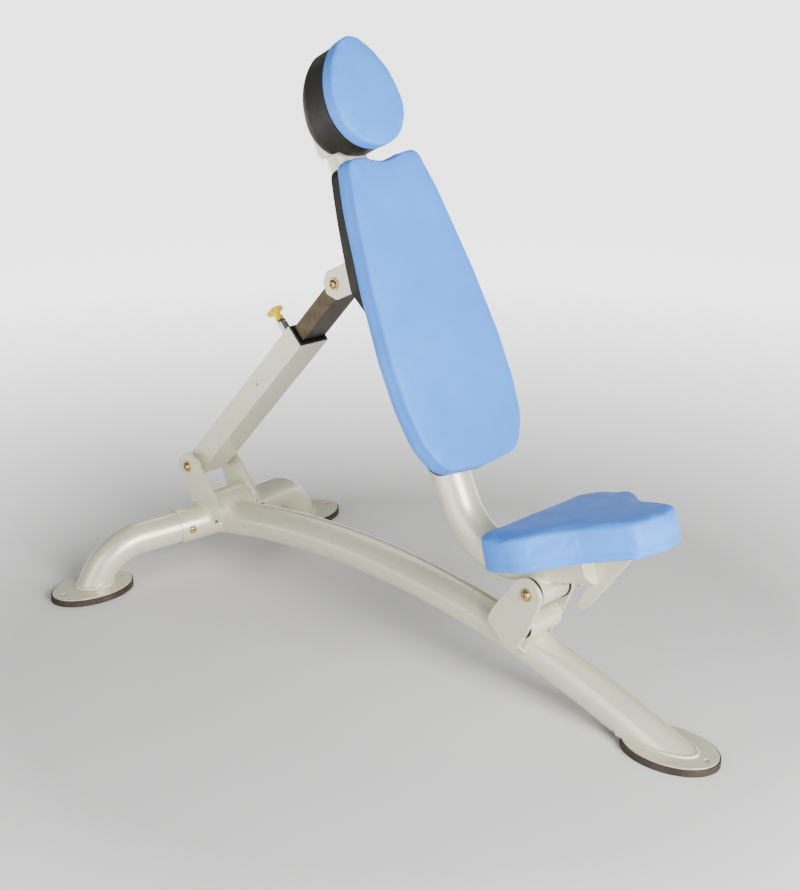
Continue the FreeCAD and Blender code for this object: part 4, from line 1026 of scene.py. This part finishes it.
def stage():
    """Pale floor with a painted glow that grows away from the bench, a dim sky and three soft lights."""
    reach, near, far = 40, 0.8, 3.2
    mesh = bpy.data.meshes.new("floor")
    mesh.from_pydata([(-reach, -reach, 0), (reach, -reach, 0), (reach, reach, 0), (-reach, reach, 0)], [],
                     [(0, 1, 2, 3)])
    floor = bpy.data.objects.new("floor", mesh)
    # Painted light: the floor glows though it is no lamp. Its emission rises from nothing 0.8 m from the middle to
    # full strength 3.2 m out, so the near floor stays dim and the far floor lights the bench's sides.
    look = Look("pale_glowing_floor", roughness=0.8, specular_ior_level=0.1, emission_strength=3.0)
    distance = look.node("ShaderNodeVectorMath", [(0, look.place)], operation="LENGTH").outputs["Value"]
    glow = look.node("ShaderNodeMapRange", [("Value", distance)], **{"From Min": near, "From Max": far})
    look.link(glow.outputs["Result"], "Emission Color")
    colour = look.ramp(look.noise(2, 3), (0.3, (0.80, 0.80, 0.795)), (0.7, (0.83, 0.83, 0.825)))
    look.link(colour, "Base Color")
    mesh.materials.append(look.material)
    bpy.context.scene.collection.objects.link(floor)
    world = bpy.data.worlds.new("studio")
    bpy.context.scene.world = world
    world.use_nodes = True
    tree = world.node_tree
    way = tree.nodes.new("ShaderNodeTexCoord")
    height = tree.nodes.new("ShaderNodeSeparateXYZ")
    glow = tree.nodes.new("ShaderNodeValToRGB")
    for element, (position, level) in zip(glow.color_ramp.elements, ((0.02, 1.0), (0.8, 0.2))):
        element.position = position
        element.color = (level, level, level, 1)
    tree.links.new(way.outputs["Generated"], height.inputs[0])
    tree.links.new(height.outputs["Z"], glow.inputs["Fac"])
    tree.links.new(glow.outputs["Color"], tree.nodes["Background"].inputs["Color"])
    tree.nodes["Background"].inputs["Strength"].default_value = 0.36
    for name, spot, size, power, tint in (
            ("key", (3.3, -0.75, 1.45), 1.9, 280, (1, 0.995, 0.98)),
            ("side", (0.1, -3.6, 1.5), 2.4, 55, (0.98, 0.99, 1)),
            ("rim", (-2.6, 1.9, 3.0), 2.2, 30, (1, 1, 1))):
        light = bpy.data.lights.new(name, "AREA")
        light.size, light.energy, light.color = size, power, tint
        lamp = bpy.data.objects.new(name, light)
        lamp.location = spot
        lamp.rotation_euler = (Vector((0, 0, 0.5)) - lamp.location).to_track_quat("-Z", "Y").to_euler()
        bpy.context.scene.collection.objects.link(lamp)


def camera():
    """The photograph's point of view."""
    azimuth, elevation, distance = math.radians(44.37), math.radians(19.28), 3.0595
    target = Vector((-0.00005, 0, 0.4005))
    back = Vector((math.sin(azimuth) * math.cos(elevation), -math.cos(azimuth) * math.cos(elevation),
                   math.sin(elevation)))
    data = bpy.data.cameras.new("camera")
    data.lens = 63.6
    data.shift_x, data.shift_y = -0.0129, 0.0116
    cam = bpy.data.objects.new("camera", data)
    cam.location = target + back * distance
    cam.rotation_mode = "QUATERNION"
    cam.rotation_quaternion = (-back).to_track_quat("-Z", "Y")
    bpy.context.scene.collection.objects.link(cam)
    bpy.context.scene.camera = cam


stage()
camera()
dress_cad_nodes()
back_pad()
head_pad()
shell_cover()
seat_pad()
fasteners()
pull_pin()
welds()
